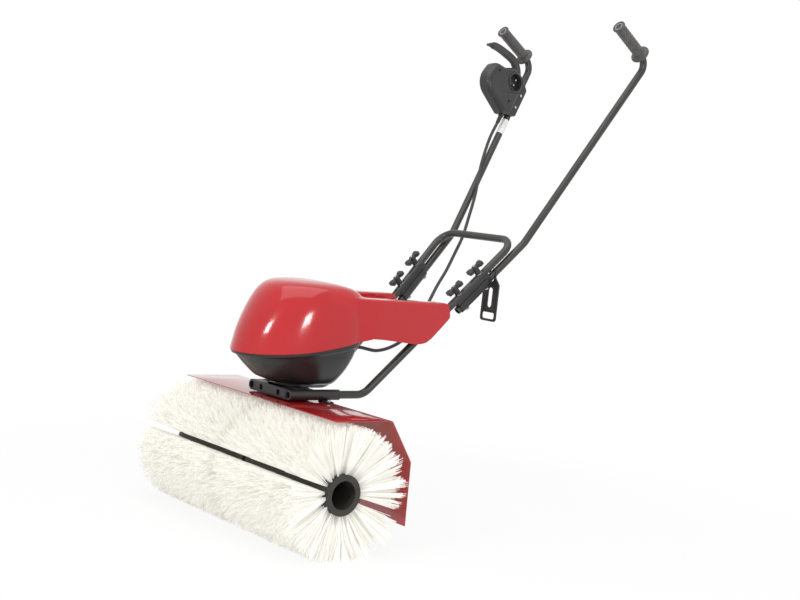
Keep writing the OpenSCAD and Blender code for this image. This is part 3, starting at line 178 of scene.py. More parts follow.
cover_red = finish("cover_red", "B3151C", "BA1A21", (0.12, 0.2), 300, 5, 0.012, coat=0.35, gloss=0.35)
guard_red = finish("guard_red", "A0161C", "AA1C22", (0.12, 0.2), 500, 7, 0.02, coat=0.9)
bowl_black = finish("bowl_black", "181717", "201F1F", (0.24, 0.34), 1400, 8, 0.1)
box_black = finish("box_black", "262526", "302F30", (0.3, 0.42), 1600, 12, 0.04)
knob_black = finish("knob_black", "222121", "2E2C2C", (0.36, 0.5), 1800, 20, 0.06)
lever_black = finish("lever_black", "2F2E2E", "3E3C3C", (0.44, 0.58), 900, 40, 0.1)
tube_black = finish("tube_black", "2F2E2D", "3A3837", (0.24, 0.34), 900, 14, 0.02)
cast_black = finish("cast_black", "222020", "302D2C", (0.34, 0.5), 700, 15, 0.2)
grip_rubber = finish("grip_rubber", "434141", "5A5857", (0.42, 0.58), 900, 90, 0.1)
dot_rubber = finish("dot_rubber", "5E5C5B", "726F6E", (0.4, 0.55), 900, 90, 0.05)
# painted highlight: this pale grey on the ring in each grip tip stands for light on the rim of the tip's
# recess
tip_highlight_grey = finish("tip_highlight_grey", "8F8D8B", "A09E9C", (0.4, 0.5), 900, 60, 0.03)
cable_rubber = finish("cable_rubber", "2D2C2C", "383636", (0.46, 0.58), 900, 20, 0.02)
hub_grey = finish("hub_grey", "282722", "32312B", (0.5, 0.64), 1200, 18, 0.15)
bright_zinc = finish("bright_zinc", "C4C6C8", "AEB1B4", (0.22, 0.36), 700, 60, 0.05, metal=1.0)
turned_steel = finish("turned_steel", "A5A8AC", "8C9094", (0.28, 0.45), 900, 40, 0.06, metal=1.0)
cast_bronze = finish("cast_bronze", "B98A4E", "A87840", (0.3, 0.45), 600, 30, 0.06, metal=1.0)
wound_copper = finish("wound_copper", "B87046", "A05E38", (0.32, 0.5), 800, 40, 0.08, metal=1.0)
blank_wrap = finish("blank_wrap", "E9E8E4", "F2F1EE", (0.35, 0.45), 900, 20, 0.03)
print("finishes", len(bpy.data.materials))

# %% [markdown]
# ## Bristle finish
# The bristles are ivory nylon. Each strand carries its own tone in an attribute, so neighbours differ a
# little, and painted shade makes the roots near the dark hub darker than the tips. A faint painted glow
# of their own stands for the light that passes through thin pale strands, and lifts their shade.


# %% Bristle finish
def bristle_finish():
    material, tree = new_material("ivory_nylon")
    tone, way_out = (node(tree, "ShaderNodeAttribute", attribute_name=name).outputs["Fac"]
                     for name in ("tone", "way_out"))
    pale = node(tree, "ShaderNodeMix", {"Factor": tone, 6: colour("EEECE6"), 7: colour("FDFDFA")},
                data_type="RGBA")
    # painted shade: each strand darkens towards its root, where the brush shades itself
    root = node(tree, "ShaderNodeMapRange", {"Value": way_out, "From Max": 0.25, "To Min": 0.7, "To Max": 1})
    shade = node(tree, "ShaderNodeMix", {"Factor": 1, 6: pale.outputs[2], 7: root.outputs["Result"]},
                 data_type="RGBA", blend_type="MULTIPLY")
    rough = node(tree, "ShaderNodeMapRange", {"Value": tone, "To Min": 0.4, "To Max": 0.6})
    # painted glow: a faint emission stands for light passing through the thin strands
    fill(tree, tree.nodes["Principled BSDF"], {
        "Base Color": shade.outputs[2], "Roughness": rough.outputs["Result"],
        "Emission Color": colour("FBF8F0"), "Emission Strength": 0.13})
    return material


ivory_nylon = bristle_finish()

# %% [markdown]
# ## Tools for making pieces
# Most moulded pieces start as a flat outline that is pushed to a thickness and rounded at its edges, or as
# a profile that is turned round an axis. All of them are drawn in millimetres in a handy frame, and the
# frame's matrix then carries the mesh to its place, so that every finished object stays at the origin.

# %% Outline helpers
mirror_x = Matrix.Scale(-1, 4, (1, 0, 0))
both_sides = (("left", Matrix()), ("right", mirror_x))


def unit(v):
    return Vector(v).normalized()


def axes(x, y, z, origin):
    """The matrix of a frame with these directions, at this place."""
    return Matrix.Translation(Vector(origin)) @ Matrix((x, y, z)).transposed().to_4x4()


def bow(wide, tall, start, end, count, middle=(0, 0)):
    """Points along a part of a circle or an oval."""
    return [Vector((middle[0] + wide * math.cos(a), middle[1] + tall * math.sin(a)))
            for a in np.linspace(start, end, count)]


def rounded(points, radii, steps=6):
    """A closed outline with each corner replaced by an arc."""
    out = []
    count = len(points)
    for i in range(count):
        a, b, c = (Vector(points[(i + k) % count]) for k in (-1, 0, 1))
        r = radii[i] if isinstance(radii, (list, tuple)) else radii
        d, e = (b - a).normalized(), (c - b).normalized()
        angle = math.atan2(d.x * e.y - d.y * e.x, d.dot(e))
        if abs(angle) < 1e-6 or r <= 0:
            out.append(b)
            continue
        side = Vector((-d.y, d.x)) * math.copysign(1, angle)
        middle = b - d * r * math.tan(abs(angle) / 2) + side * r
        v = -side * r
        for k in range(steps + 1):
            c, s = math.cos(angle * k / steps), math.sin(angle * k / steps)
            out.append(middle + Vector((v.x * c - v.y * s, v.x * s + v.y * c)))
    return out


# %% Solid helpers
def loft(rings, close_start=True, close_end=True):
    """A skin over rings that have the same number of points."""
    bm = bmesh.new()
    rows = [[bm.verts.new(p) for p in ring] for ring in rings]
    count = len(rows[0])
    for a, b in zip(rows, rows[1:]):
        for k in range(count):
            j = (k + 1) % count
            bm.faces.new((a[k], a[j], b[j], b[k]))
    if close_start:
        bm.faces.new(rows[0][::-1])
    if close_end:
        bm.faces.new(rows[-1])
    return bm


def split_large_faces(bm):
    bmesh.ops.triangulate(bm, faces=[f for f in bm.faces if len(f.verts) > 4])
    return bm


def plate(outline, low, high, round_low=0.0, round_high=0.0, segments=3):
    """A flat outline pushed from low to high, with rounded edges at its two faces."""
    bm = loft([[(p[0], p[1], z) for p in outline] for z in (low, high)])
    for face, size in zip(list(bm.faces)[-2:], (round_low, round_high)):
        if size > 0:
            bmesh.ops.bevel(bm, geom=list(face.edges), offset=size, segments=segments, profile=0.5,
                            affect="EDGES", clamp_overlap=True)
    return split_large_faces(bm)


def turned(profile, sides=48):
    """A profile of radius and height turned round Z. A closed loop gives a ring."""
    bm = bmesh.new()
    rings = []
    for k in range(sides):
        c, s = math.cos(2 * math.pi * k / sides), math.sin(2 * math.pi * k / sides)
        rings.append([bm.verts.new((r * c, r * s, z)) for r, z in profile])
    count = len(profile)
    for k in range(sides):
        a, b = rings[k], rings[(k + 1) % sides]
        for i in range(count):
            j = (i + 1) % count
            if profile[i][0] == 0 and profile[j][0] == 0:
                continue
            bm.faces.new((a[i], b[i], b[j], a[j]))
    bmesh.ops.remove_doubles(bm, verts=bm.verts, dist=1e-4)
    bmesh.ops.dissolve_degenerate(bm, edges=bm.edges, dist=1e-5)
    return bm


def rod(radius, low, high, sides):
    return turned([(0, low), (radius, low), (radius, high), (0, high)], sides)


def block(x0, x1, y0, y1, z0, z1, edge=1.0):
    bm = bmesh.new()
    bmesh.ops.create_cube(bm, size=1)
    bm.transform(Matrix.Translation(((x0 + x1) / 2, (y0 + y1) / 2, (z0 + z1) / 2))
                 @ Matrix.Diagonal((x1 - x0, y1 - y0, z1 - z0, 1)))
    if edge > 0:
        bmesh.ops.bevel(bm, geom=list(bm.edges), offset=edge, segments=2, profile=0.5, affect="EDGES")
    return bm


# %% Helpers that place and join
def placed(bm, matrix):
    bm.transform(matrix)
    return bm


def as_mesh(name, bm):
    mesh = bpy.data.meshes.new(name)
    bm.to_mesh(mesh)
    bm.free()
    return mesh


def merge(parts):
    """One bmesh from several pairs of bmesh and matrix."""
    whole = bmesh.new()
    for bm, matrix in parts:
        carrier = as_mesh("carrier", placed(bm, matrix))
        whole.from_mesh(carrier)
        bpy.data.meshes.remove(carrier)
    return whole


def outward(bm):
    """Recalculates the normals, and turns round a closed island that still faces inwards."""
    bmesh.ops.recalc_face_normals(bm, faces=bm.faces)
    left = set(bm.faces)
    while left:
        front = [left.pop()]
        for face in front:
            near = {other for edge in face.edges for other in edge.link_faces} & left
            left -= near
            front.extend(near)
        size = 0
        for face in front:
            corners = [v.co for v in face.verts]
            size += sum(corners[0].dot(b.cross(c)) for b, c in zip(corners[1:], corners[2:]))
        if size < 0 and all(edge.is_manifold for face in front for edge in face.edges):
            bmesh.ops.reverse_faces(bm, faces=front)
    return bm


# %% Helpers that show and finish
def paint(piece, material):
    piece.data.materials.clear()
    piece.data.materials.append(material)


def smooth(piece, degrees):
    """Shades a piece smoothly, except over edges that turn by more than some degrees."""
    piece.data.shade_smooth()
    piece.data.set_sharp_from_angle(angle=math.radians(degrees))
    return piece


def show_as_is(name, bm, material, sharp):
    piece = stand(name, as_mesh(name, bm))
    paint(piece, material)
    return smooth(piece, sharp)


def show(name, bm, matrix, material, sharp=35):
    """Turns a bmesh in millimetres into an object in the frame, with its faces pointing outwards."""
    bm.transform(to_frame @ matrix)
    bmesh.ops.remove_doubles(bm, verts=bm.verts, dist=1e-7)
    return show_as_is(name, outward(bm), material, sharp)


def plain_mesh(piece):
    """The mesh of an object with its modifiers applied."""
    graph = bpy.context.evaluated_depsgraph_get()
    final = piece.evaluated_get(graph)
    return bpy.data.meshes.new_from_object(final, preserve_all_data_layers=True, depsgraph=graph)


def settle(piece):
    """Replaces a piece's modifiers by their result."""
    mesh = plain_mesh(piece)
    piece.modifiers.clear()
    piece.data = mesh
    return piece


def thicken(piece, wall, offset=-1):
    """Gives a thin skin its wall."""
    solidify = piece.modifiers.new("wall", "SOLIDIFY")
    solidify.thickness = wall * MM
    solidify.offset = offset
    return piece


def remake(piece, change=None):
    """Runs a change on a piece's mesh and recalculates its normals."""
    bm = bmesh.new()
    bm.from_mesh(piece.data)
    if change:
        change(bm)
    bmesh.ops.recalc_face_normals(bm, faces=bm.faces)
    bm.to_mesh(piece.data)
    bm.free()


def carve(piece, cutters, overlapping=False):
    """Cuts solids out of a piece, which may be made of overlapping solids."""
    for bm in cutters:
        cutter = stand("cutter", as_mesh("cutter", outward(bm)))
        cut = piece.modifiers.new("cut", "BOOLEAN")
        cut.operation = "DIFFERENCE"
        cut.solver = "EXACT"
        cut.use_self = overlapping
        cut.object = cutter
        settle(piece)
        bpy.data.objects.remove(cutter)
    piece.data.set_sharp_from_angle(angle=math.radians(35))
    return piece


def wear(piece, body, slot, *nodes):
    """Puts a finished piece on its body and in the place of its solids, which it hides. The slot is not used.
    """
    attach(piece, body)
    if nodes:
        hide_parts(*nodes)
    print(piece.name, len(piece.data.polygons), "faces on", body)
    return piece


# %% [markdown]
# ## The handle's lines
# Two legs rise from the front bracket and meet in a crossbar. An upper tube lies behind each leg, bends
# outwards and then forwards into a grip. The same points give the tubes, the clamps, the grips and the box.

# %% The handle's lines
tube_r, tube_wall = 9.5, 1.5
tube_x, tube_z = 75, 179
bracket_front = -6
leg_foot = Vector((tube_x, 213, tube_z))
leg_top = Vector((135, 601, 580))
leg_dir = unit(leg_top - leg_foot)
leg_back = unit((0, leg_dir.z, -leg_dir.y))
tube_step = 24.5
kink = leg_foot + leg_dir * ((leg_top - leg_foot).length + 18) + leg_back * tube_step
grip_corner = Vector((212, 929, 1073))
tube_up = unit(grip_corner - kink)
grip_dir = unit((0, -tube_up.z, tube_up.y))
grip_bend, grip_len = 32, 115
clamp_at, clamp_pitch = 350, 76
on_grip = axes(grip_dir, tube_up, grip_dir.cross(tube_up), grip_corner)


def on_leg(at):
    return axes(leg_dir, (-leg_back).cross(leg_dir), -leg_back, leg_foot + leg_dir * at)


def bent_path(corners, bends, step=4.0):
    """Points along straight runs joined by arcs."""
    out = [Vector(corners[0])]
    for i in range(1, len(corners) - 1):
        a, b, c = (Vector(corners[i + k]) for k in (-1, 0, 1))
        d, e = unit(b - a), unit(c - b)
        turn_by = d.angle(e)
        inward = unit(e - d * d.dot(e))
        middle = b - d * bends[i] * math.tan(turn_by / 2) + inward * bends[i]
        count = max(6, int(bends[i] * turn_by / step))
        for k in range(count + 1):
            angle = turn_by * k / count
            out.append(middle - inward * bends[i] * math.cos(angle) + d * bends[i] * math.sin(angle))
    out.append(Vector(corners[-1]))
    return out


# %% [markdown]
# ## Bent tubes with Geometry Nodes
# A tube is a circle that follows a path, so a node tree sweeps it: the path comes in as a chain of edges,
# turns into a curve and gets a round profile. A Solidify modifier then gives the wall, which shows at the
# open ends. The result is made a plain mesh before it goes on its body.


# %% Numbers in a node tree
class Number:
    """A socket that sums can be written with: every sum on it adds a Math node to its tree."""

    def __init__(self, tree, socket):
        self.tree = tree
        self.socket = socket

    def maths(self, operation, other=0.0, swap=False):
        pair = (other, self) if swap else (self, other)
        box = node(self.tree, "ShaderNodeMath", dict(enumerate(pair)), operation=operation)
        return Number(self.tree, box.outputs[0])

    def __add__(self, other):
        return self.maths("ADD", other)

    def __sub__(self, other):
        return self.maths("SUBTRACT", other)

    def __rsub__(self, other):
        return self.maths("SUBTRACT", other, True)

    def __mul__(self, other):
        return self.maths("MULTIPLY", other)

    def __truediv__(self, other):
        return self.maths("DIVIDE", other)

    def __mod__(self, other):
        return self.maths("MODULO", other)

    def __pow__(self, other):
        return self.maths("POWER", other)


# %% Node tree helpers
def node_tree(name, *sizes):
    """A tree with named sizes, and what it is given by name."""
    tree = bpy.data.node_groups.new(name, "GeometryNodeTree")
    sockets(tree, "INPUT", ("Geometry", "Geometry"), *sizes, ("Material", "Material"))
    sockets(tree, "OUTPUT", ("Geometry", "Geometry"))
    return tree, {socket.name: Number(tree, socket) for socket in node(tree, "NodeGroupInput").outputs}


def close_tree(tree, given, geometry):
    """Every tree ends in plain geometry with its finish set."""
    real = node(tree, "GeometryNodeRealizeInstances", {"Geometry": geometry}).outputs[0]
    dress = node(tree, "GeometryNodeSetMaterial", {"Geometry": real, "Material": given["Material"]})
    node(tree, "NodeGroupOutput", {"Geometry": dress.outputs[0]})
    return tree


def grow(name, mesh, tree, values, material):
    """A host object with the tree on it and its inputs set by identifier."""
    host = stand(name, mesh)
    modifier = host.modifiers.new(tree.name, "NODES")
    modifier.node_group = tree
    values = {**values, "Material": material}
    for item in tree.interface.items_tree:
        if item.in_out == "INPUT" and item.name in values:
            modifier[item.identifier] = values[item.name]
    return host


# %% Tube tree
def tube_tree():
    tree, given = node_tree("tube_along_path", ("Radius", "Float", 0.01), ("Sides", "Int", 32))
    path = node(tree, "GeometryNodeMeshToCurve", {"Mesh": given["Geometry"]})
    ring = node(tree, "GeometryNodeCurvePrimitiveCircle", {
        "Resolution": given["Sides"], "Radius": given["Radius"]})
    sweep = node(tree, "GeometryNodeCurveToMesh", {
        "Curve": path.outputs["Curve"], "Profile Curve": ring.outputs["Curve"]})
    return close_tree(tree, given, sweep.outputs["Mesh"])


tube_along_path = tube_tree()


def tube(name, path, radius, wall, material, sides=32):
    chain = bpy.data.meshes.new(name)
    chain.from_pydata([to_frame @ p for p in path], [(i, i + 1) for i in range(len(path) - 1)], [])
    piece = grow(name, chain, tube_along_path, {"Radius": radius * MM, "Sides": sides}, material)
    settle(thicken(piece, wall))
    remake(piece)
    return smooth(piece, 40)


# %% Handle tubes
foot_end = Vector((tube_x, bracket_front, tube_z))
leg_corners = [foot_end, leg_foot, leg_top] + [mirror_x @ p for p in (leg_top, leg_foot, foot_end)]
leg_path = bent_path(leg_corners, [0, 45, 42, 42, 45, 0])
lower_tube = tube("lower_handle_tube", leg_path, tube_r, tube_wall, tube_black)
wear(lower_tube, "chassis", "black_paint", "lower_handle")
upper_corners = [leg_foot + leg_dir * (clamp_at - 27) + leg_back * tube_step, kink, grip_corner,
                 grip_corner + grip_dir * (grip_bend + grip_len - 4)]
upper_line = bent_path(upper_corners, [0, 60, grip_bend, 0])
for side, matrix in both_sides:
    upper_tube = tube(f"upper_tube_{side}", [matrix @ p for p in upper_line], tube_r, tube_wall, tube_black)
    wear(upper_tube, "chassis", "black_paint", f"upper_handle_{side}")

# %% [markdown]
# ## Motor cable
# The cable leaves the switch box along the right tube, swings across behind the crossbar and goes into
# the bowl's rear wall. It is a fixed length of round rubber cable, so it is one smooth curve through the
# same points as its solid, with a ribbed boot where it leaves each housing.

# %% Motor cable
cable_d = 8.5
cable_route = [Vector(p) for p in (
    (-182, 810, 928), (-178, 789, 892), (-174, 766, 853), (-167, 746, 811), (-156, 726, 768),
    (-144, 710, 725), (-134, 695, 680), (-121, 671, 629), (-105, 641, 572), (-88, 602, 522),
    (-67, 562, 481), (-48, 520, 442), (-27, 480, 403), (-8, 440, 363), (8, 400, 329),
    (18, 363, 303), (20, 322, 285), (20, 285, 278), (20, 258, 281), (20, 234, 285),
    (20, 212, 285), (20, 190, 285), (20, 160, 285))]


def smooth_line(points, steps):
    """A smooth curve through every point."""
    out = []
    for i in range(len(points) - 1):
        a, b, c, d = (points[min(max(i + k, 0), len(points) - 1)] for k in (-1, 0, 1, 2))
        for k in range(steps):
            t = k / steps
            out.append(0.5 * (2 * b + (c - a) * t + (2 * a - 5 * b + 4 * c - d) * t * t
                              + (3 * b - a - 3 * c + d) * t ** 3))
    return out + [points[-1]]


def add_line(curve, points, closed):
    line = curve.splines.new("POLY")
    line.points.add(len(points) - 1)
    for point, place in zip(line.points, points):
        point.co = (*place.to_3d(), 1)
    line.use_cyclic_u = closed


cable_line = [to_frame @ p for p in smooth_line(cable_route, 6)]
cable_curve = bpy.data.curves.new("motor_cable_run", "CURVE")
cable_curve.dimensions = "3D"
cable_curve.bevel_depth = cable_d / 2 * MM
cable_curve.bevel_resolution = 4
cable_curve.use_fill_caps = True
add_line(cable_curve, cable_line, False)
cable_curve.materials.append(cable_rubber)
cable = stand("motor_cable_run", cable_curve)
cable_len = sum((b - a).length for a, b in zip(cable_line, cable_line[1:]))
print("cable", round(cable_len, 3), "m long")


# %% Cable boots
def boot(radius, tail_radius, collar, length, ribs):
    """A collar and a ribbed tail that gets thinner."""
    inner = cable_d / 2 + 0.05
    profile = [(inner, 0), (radius, 0), (radius, collar)]
    for k in range(ribs):
        z = collar + (length - collar) * (k + 0.15) / ribs
        w = (length - collar) / ribs
        r = radius - 0.8 + (tail_radius - radius + 0.8) * (k + 0.5) / ribs
        profile += [(r - 0.7, z), (r, z + 0.15 * w), (r, z + 0.55 * w), (r - 0.7, z + 0.7 * w)]
    profile += [(inner + 0.5, length), (inner, length)]
    return turned(profile, 32)


def along(start, end):
    """A frame at the start whose Z points to the end."""
    z = unit(end - start)
    x = unit(z.cross((1, 0, 0)))
    return axes(x, z.cross(x), z, start)


boots = merge([
    (boot(7, 5.4, 18, 40, 5), along(cable_route[0], cable_route[1])),
    (boot(9, 5.6, 16, 38, 5), along(cable_route[-1], cable_route[-1] + Vector((0, 1, 0))))])
cable_boots = show("cable_boots", boots, Matrix(), cable_rubber)
wear(cable_boots, "chassis", "grip_rubber", "cable_glands")
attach(cable, "chassis")
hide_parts("motor_cable")

# %% [markdown]
# ## Motor cover
# The cover is one moulding: a dome with a long nose, and two arms at the rear that run back over the
# legs. The dome is lofted from outlines at rising levels and the arms are pushed outlines. A voxel remesh
# melts them into one skin, smoothing rounds the joins, and the lower edge is then cut along the seam line.

# %% The head's outlines
head_half_w, head_mid, nose_len, tail_len = 122, 70, 180, 117
cover_top, bowl_floor = 440, 200
seam_front, seam_slope, seam_curve = 267, 0.089, 0.00027
head_wall = 3
# Each level has its share of the height, then its shares of the width, the nose and the tail.
cover_levels = np.array([
    (0, 1, 1, 1), (0.1, 0.998, 0.98, 1), (0.3, 0.985, 0.93, 1), (0.5, 0.965, 0.85, 0.99),
    (0.68, 0.93, 0.76, 0.98), (0.82, 0.87, 0.67, 0.94), (0.92, 0.77, 0.57, 0.76),
    (0.975, 0.62, 0.44, 0.45), (1, 0.4, 0.28, 0.2)])
bowl_levels = np.array([
    (0, 0.985, 0.985, 0.985), (0.045, 0.984, 0.984, 0.984), (0.11, 0.972, 0.966, 0.968),
    (0.13, 0.95, 0.93, 0.94), (0.36, 0.9, 0.84, 0.87), (0.62, 0.8, 0.73, 0.78),
    (0.85, 0.68, 0.61, 0.66), (0.955, 0.6, 0.48, 0.6), (1, 0.52, 0.42, 0.57)])


def seam(y):
    run = y - head_mid + nose_len
    return seam_front + run * (seam_slope + run * seam_curve)


def level_at(levels, share):
    """A level between the listed ones, on a smooth curve."""
    i = min(max(np.searchsorted(levels[:, 0], share) - 1, 0), len(levels) - 2)
    a, b, c, d = (levels[min(max(i + k, 0), len(levels) - 1)] for k in (-1, 0, 1, 2))
    span = c[0] - b[0]
    t = (share - b[0]) / span
    start = (c - a) / max(c[0] - a[0], 1e-6) * span
    end = (d - b) / max(d[0] - b[0], 1e-6) * span
    t2, t3 = t * t, t ** 3
    return (2 * t3 - 3 * t2 + 1) * b + (t3 - 2 * t2 + t) * start + (3 * t2 - 2 * t3) * c + (t3 - t2) * end


def head_outline(level, steps, shrink=1.0):
    """An outline that is square at the tail and round at the nose."""
    points = []
    for k in range(steps):
        a = 2 * math.pi * k / steps
        c, s = math.cos(a), math.sin(a)
        power = 0.5 if s > 0 else 1
        reach = tail_len * level[3] if s > 0 else nose_len * level[2]
        x = head_half_w * level[1] * shrink * math.copysign(abs(c) ** power, c)
        points.append((x, head_mid + reach * shrink * math.copysign(abs(s) ** power, s)))
    return points


def head_ring(levels, share, rim_drop, end_z, steps):
    """The outline at a share of the way from the seam to the top or the floor."""
    outline = head_outline(level_at(levels, share), steps)
    return [(x, y, (seam(y) - rim_drop) * (1 - share) + end_z * share) for x, y in outline]


# %% Cover skin
dome_steps = 120


def dome():
    rings = [[(x, y, seam(y) - 60) for x, y in head_outline(cover_levels[0], dome_steps)]]
    for share in np.concatenate([np.linspace(0, 0.9, 28), np.linspace(0.915, 1, 12)]):
        rings.append(head_ring(cover_levels, share, 0, cover_top, dome_steps))
    for shrink in (0.75, 0.5, 0.25):
        crown = head_outline(cover_levels[-1], dome_steps, shrink)
        rings.append([(x, y, cover_top + 1.2 * (1 - shrink ** 2)) for x, y in crown])
    return loft(rings)


arm_inner_x, arm_front, arm_flare, arm_run = 72, 119, 12, 306
arm_outer_x = head_half_w + 2
arm_joint_y = 187
arm_low = np.array([(arm_joint_y, 318.5), (215, 318), (262, 314), (312, 309.5), (335, 310), (352, 314),
                    (368, 325), (395, 351), (424, 380)])


def arm():
    side = rounded([(120, 412), (120, 240), (200, 240), (424, 240), (424, 385), (417, 412), (200, 412)],
                   [0, 0, 0, 0, 14, 14, 0])
    inner = [(arm_inner_x + (p.x - arm_front) * arm_flare / arm_run, p.x, p.y) for p in side]
    outer = [(arm_outer_x - max(200 - p.x, 0) * 0.2, p.x, p.y) for p in side]
    return loft([inner, outer])


def lower_edge(y):
    return seam(y) if y < arm_joint_y else float(np.interp(y, arm_low[:, 0], arm_low[:, 1]))


def cover_skin():
    solid = merge([(dome(), Matrix()), (arm(), Matrix()), (arm(), mirror_x)])
    bmesh.ops.recalc_face_normals(solid, faces=solid.faces)
    skin = show("motor_cover_shell", solid, Matrix(), cover_red)
    voxels = skin.modifiers.new("melt", "REMESH")
    voxels.mode = "VOXEL"
    voxels.voxel_size = 3.0 * MM
    soften = skin.modifiers.new("soften", "SMOOTH")
    soften.factor = 0.5
    soften.iterations = 26
    return settle(skin)


motor_cover = cover_skin()
print("cover skin", len(motor_cover.data.polygons), "faces")


# %% Seam cut, wall and tube holes
def cut_at_seam(bm):
    """Cuts the skin along its lower edge: the edge is made level for the cut and bent back after it."""
    def lift(way):
        for v in bm.verts:
            v.co.z += way * (lower_edge((v.co.y - axle.y) / MM) * MM + axle.z)

    lift(-1)
    bmesh.ops.bisect_plane(bm, geom=list(bm.verts) + list(bm.edges) + list(bm.faces), dist=1e-6,
                           plane_co=(0, 0, 0), plane_no=(0, 0, 1), clear_inner=True)
    lift(1)
    bmesh.ops.remove_doubles(bm, verts=bm.verts, dist=2e-4)


remake(motor_cover, cut_at_seam)
settle(thicken(motor_cover, head_wall))
carve(motor_cover, [placed(rod(tube_r + 0.4, 150, 560, 40), to_frame @ matrix @ along(leg_foot, leg_top))
                    for _, matrix in both_sides])
paint(motor_cover, cover_red)
wear(smooth(motor_cover, 48), "chassis", "red_cover", "motor_cover")

# %% [markdown]
# ## Motor bowl
# The bowl is a black tub with a collar under the seam. Its outlines shrink towards the floor, so it is a
# loft like the dome, and a Solidify modifier gives it a wall.

# %% Motor bowl
bowl_shares = np.concatenate([np.linspace(0, 0.15, 10), np.linspace(0.18, 0.9, 18), np.linspace(0.92, 1, 7)])
bowl_rings = [head_ring(bowl_levels, share, 0.4, bowl_floor, 112) for share in bowl_shares]
bowl = split_large_faces(loft(bowl_rings, close_start=False))
motor_bowl = show("motor_bowl_tub", bowl, Matrix(), bowl_black, 40)
wear(settle(thicken(motor_bowl, head_wall)), "chassis", "black_plastic", "motor_bowl")

# %% [markdown]
# ## Guard
# The guard is one steel sheet, bent twice over the brush. Its side view is a line with rounded bends, so
# the sheet is that line drawn across the machine, thickened by Solidify and eased by a Bevel.

# %% Guard
brush_w = 620
guard_top, guard_t, guard_bend = 163, 2, 14
guard_line = [(0, -40, guard_top), (0, 115, guard_top), (0, 182, 67), (0, 185, -80)]


def guard_sheet():
    line = bent_path(guard_line, [0, guard_bend, guard_bend, 0], guard_bend * 0.06)
    bm = bmesh.new()
    rows = [[bm.verts.new((x, p.y, p.z)) for p in line] for x in np.linspace(-brush_w / 2, brush_w / 2, 9)]
    for a, b in zip(rows, rows[1:]):
        for i in range(len(line) - 1):
            bm.faces.new((a[i], b[i], b[i + 1], a[i + 1]))
    piece = show_as_is("guard_sheet", placed(bm, to_frame), guard_red, 30)
    up = piece.data.polygons[0].normal.z
    thicken(piece, guard_t, -1 if up > 0 else 1)
    ease = piece.modifiers.new("ease", "BEVEL")
    ease.width = 0.5 * MM
    ease.segments = 2
    ease.limit_method = "ANGLE"
    ease.angle_limit = math.radians(60)
    remake(settle(piece))
    piece.data.set_sharp_from_angle(angle=math.radians(30))
    return piece


wear(guard_sheet(), "chassis", "red_paint", "guard")

# %% [markdown]
# ## Handle bracket
# The bracket is a black casting. A front bar holds the two tube ends and has two square pockets, sleeves
# grip the tubes behind it, and a round pad under the bowl takes the bolts of the gear case.

# %% Handle bracket
bracket_h = 25
bracket_low = tube_z - bracket_h / 2
bracket_high = bracket_low + bracket_h
sleeve_r, sleeve_end = tube_r + 3, 140
foot_bore, column_bore = tube_r + 0.05, 30.1
worm_centre, bolt_circle = 45, 39
pad_r = bolt_circle + 11


def on_foot(x):
    """A frame whose Z runs back along the foot of a leg."""
    return axes((1, 0, 0), (0, 0, -1), (0, 1, 0), (x, 0, tube_z))


casting = [block(-tube_x, tube_x, bracket_front, 19, bracket_low, bracket_high, 1.5),
           block(-tube_x, tube_x, worm_centre + 10, worm_centre + 40, bracket_low + 4, bracket_high - 4, 1.2)]
for x in (-58, 58):
    casting.append(block(x - 2, x + 2, 12, worm_centre + 20, bracket_low + 3, bracket_high - 6, 0.8))
pockets = []
for side in (-1, 1):
    casting.append(placed(rod(6, guard_top, tube_z, 24), Matrix.Translation((side * tube_x, 109, 0))))
    casting.append(block(side * 85 - 19, side * 85 + 19, 88, 106, guard_top, guard_top + 4, 1))
    pockets.append(block(side * 35 - 6, side * 35 + 6, -10, 6, tube_z - 6, tube_z + 6, 0.6))
    pockets.append(placed(rod(foot_bore, -12, 150, 48), on_foot(side * tube_x)))
pockets.append(placed(rod(column_bore, 150, 220, 64), Matrix.Translation((0, worm_centre, 0))))
bracket_bar = show("bracket_bar", merge([(bm, Matrix()) for bm in casting]), Matrix(), cast_black)
carve(bracket_bar, [placed(bm, to_frame) for bm in pockets], True)
wear(bracket_bar, "chassis", "black_paint", "handle_bracket")

# %% Bracket sleeves and pad
sleeve_profile = [(foot_bore, bracket_front), (sleeve_r - 1, bracket_front), (sleeve_r, bracket_front + 1),
                  (sleeve_r, sleeve_end - 2), (sleeve_r - 1.5, sleeve_end), (foot_bore, sleeve_end)]
pad_profile = [(column_bore, 0), (pad_r - 1.5, 0), (pad_r, 1.5), (pad_r, bracket_h - 1.5),
               (pad_r - 1.5, bracket_h), (column_bore, bracket_h)]
pad_and_sleeves = [(turned(sleeve_profile, 48), on_foot(x)) for x in (-tube_x, tube_x)]
pad_and_sleeves.append((turned(pad_profile, 64), Matrix.Translation((0, worm_centre, bracket_low))))
bracket_pad = show("bracket_sleeves", merge(pad_and_sleeves), Matrix(), cast_black)
wear(bracket_pad, "chassis", "black_paint", "handle_bracket")

# %% [markdown]
# ## Clamps and knobs
# A block holds each pair of tubes, and two bolts go through it with a two-wing knob on each. A knob is a
# bow-tie outline with thick rounded wings on a round hub.

# %% Clamp blocks
lengthwise = axes((0, 1, 0), (0, 0, 1), (1, 0, 0), (0, 0, 0))


def clamp_block():
    half = tube_r + 3
    wrap_edge = bow(half, half, math.pi, 2 * math.pi, 25, (0, -tube_step))
    wrap_edge = [(-half, -tube_step / 2)] + wrap_edge + [(half, -tube_step / 2)]
    outer = plate(wrap_edge, -18, clamp_pitch + 8, 2.2, 2.2)
    middle = block(-18, clamp_pitch + 18, -10.5, 10.5, -tube_step, 0, 1.0)
    return merge([(outer, lengthwise), (middle, Matrix())])


for side, matrix in both_sides:
    piece = show(f"clamp_block_{side}", clamp_block(), matrix @ on_leg(clamp_at), knob_black)
    wear(piece, "chassis", "black_plastic", "clamp_saddles")

# %% Knobs
knob_base, knob_h, knob_half, knob_bore = tube_r + 2.0, 22, 24, 3.06


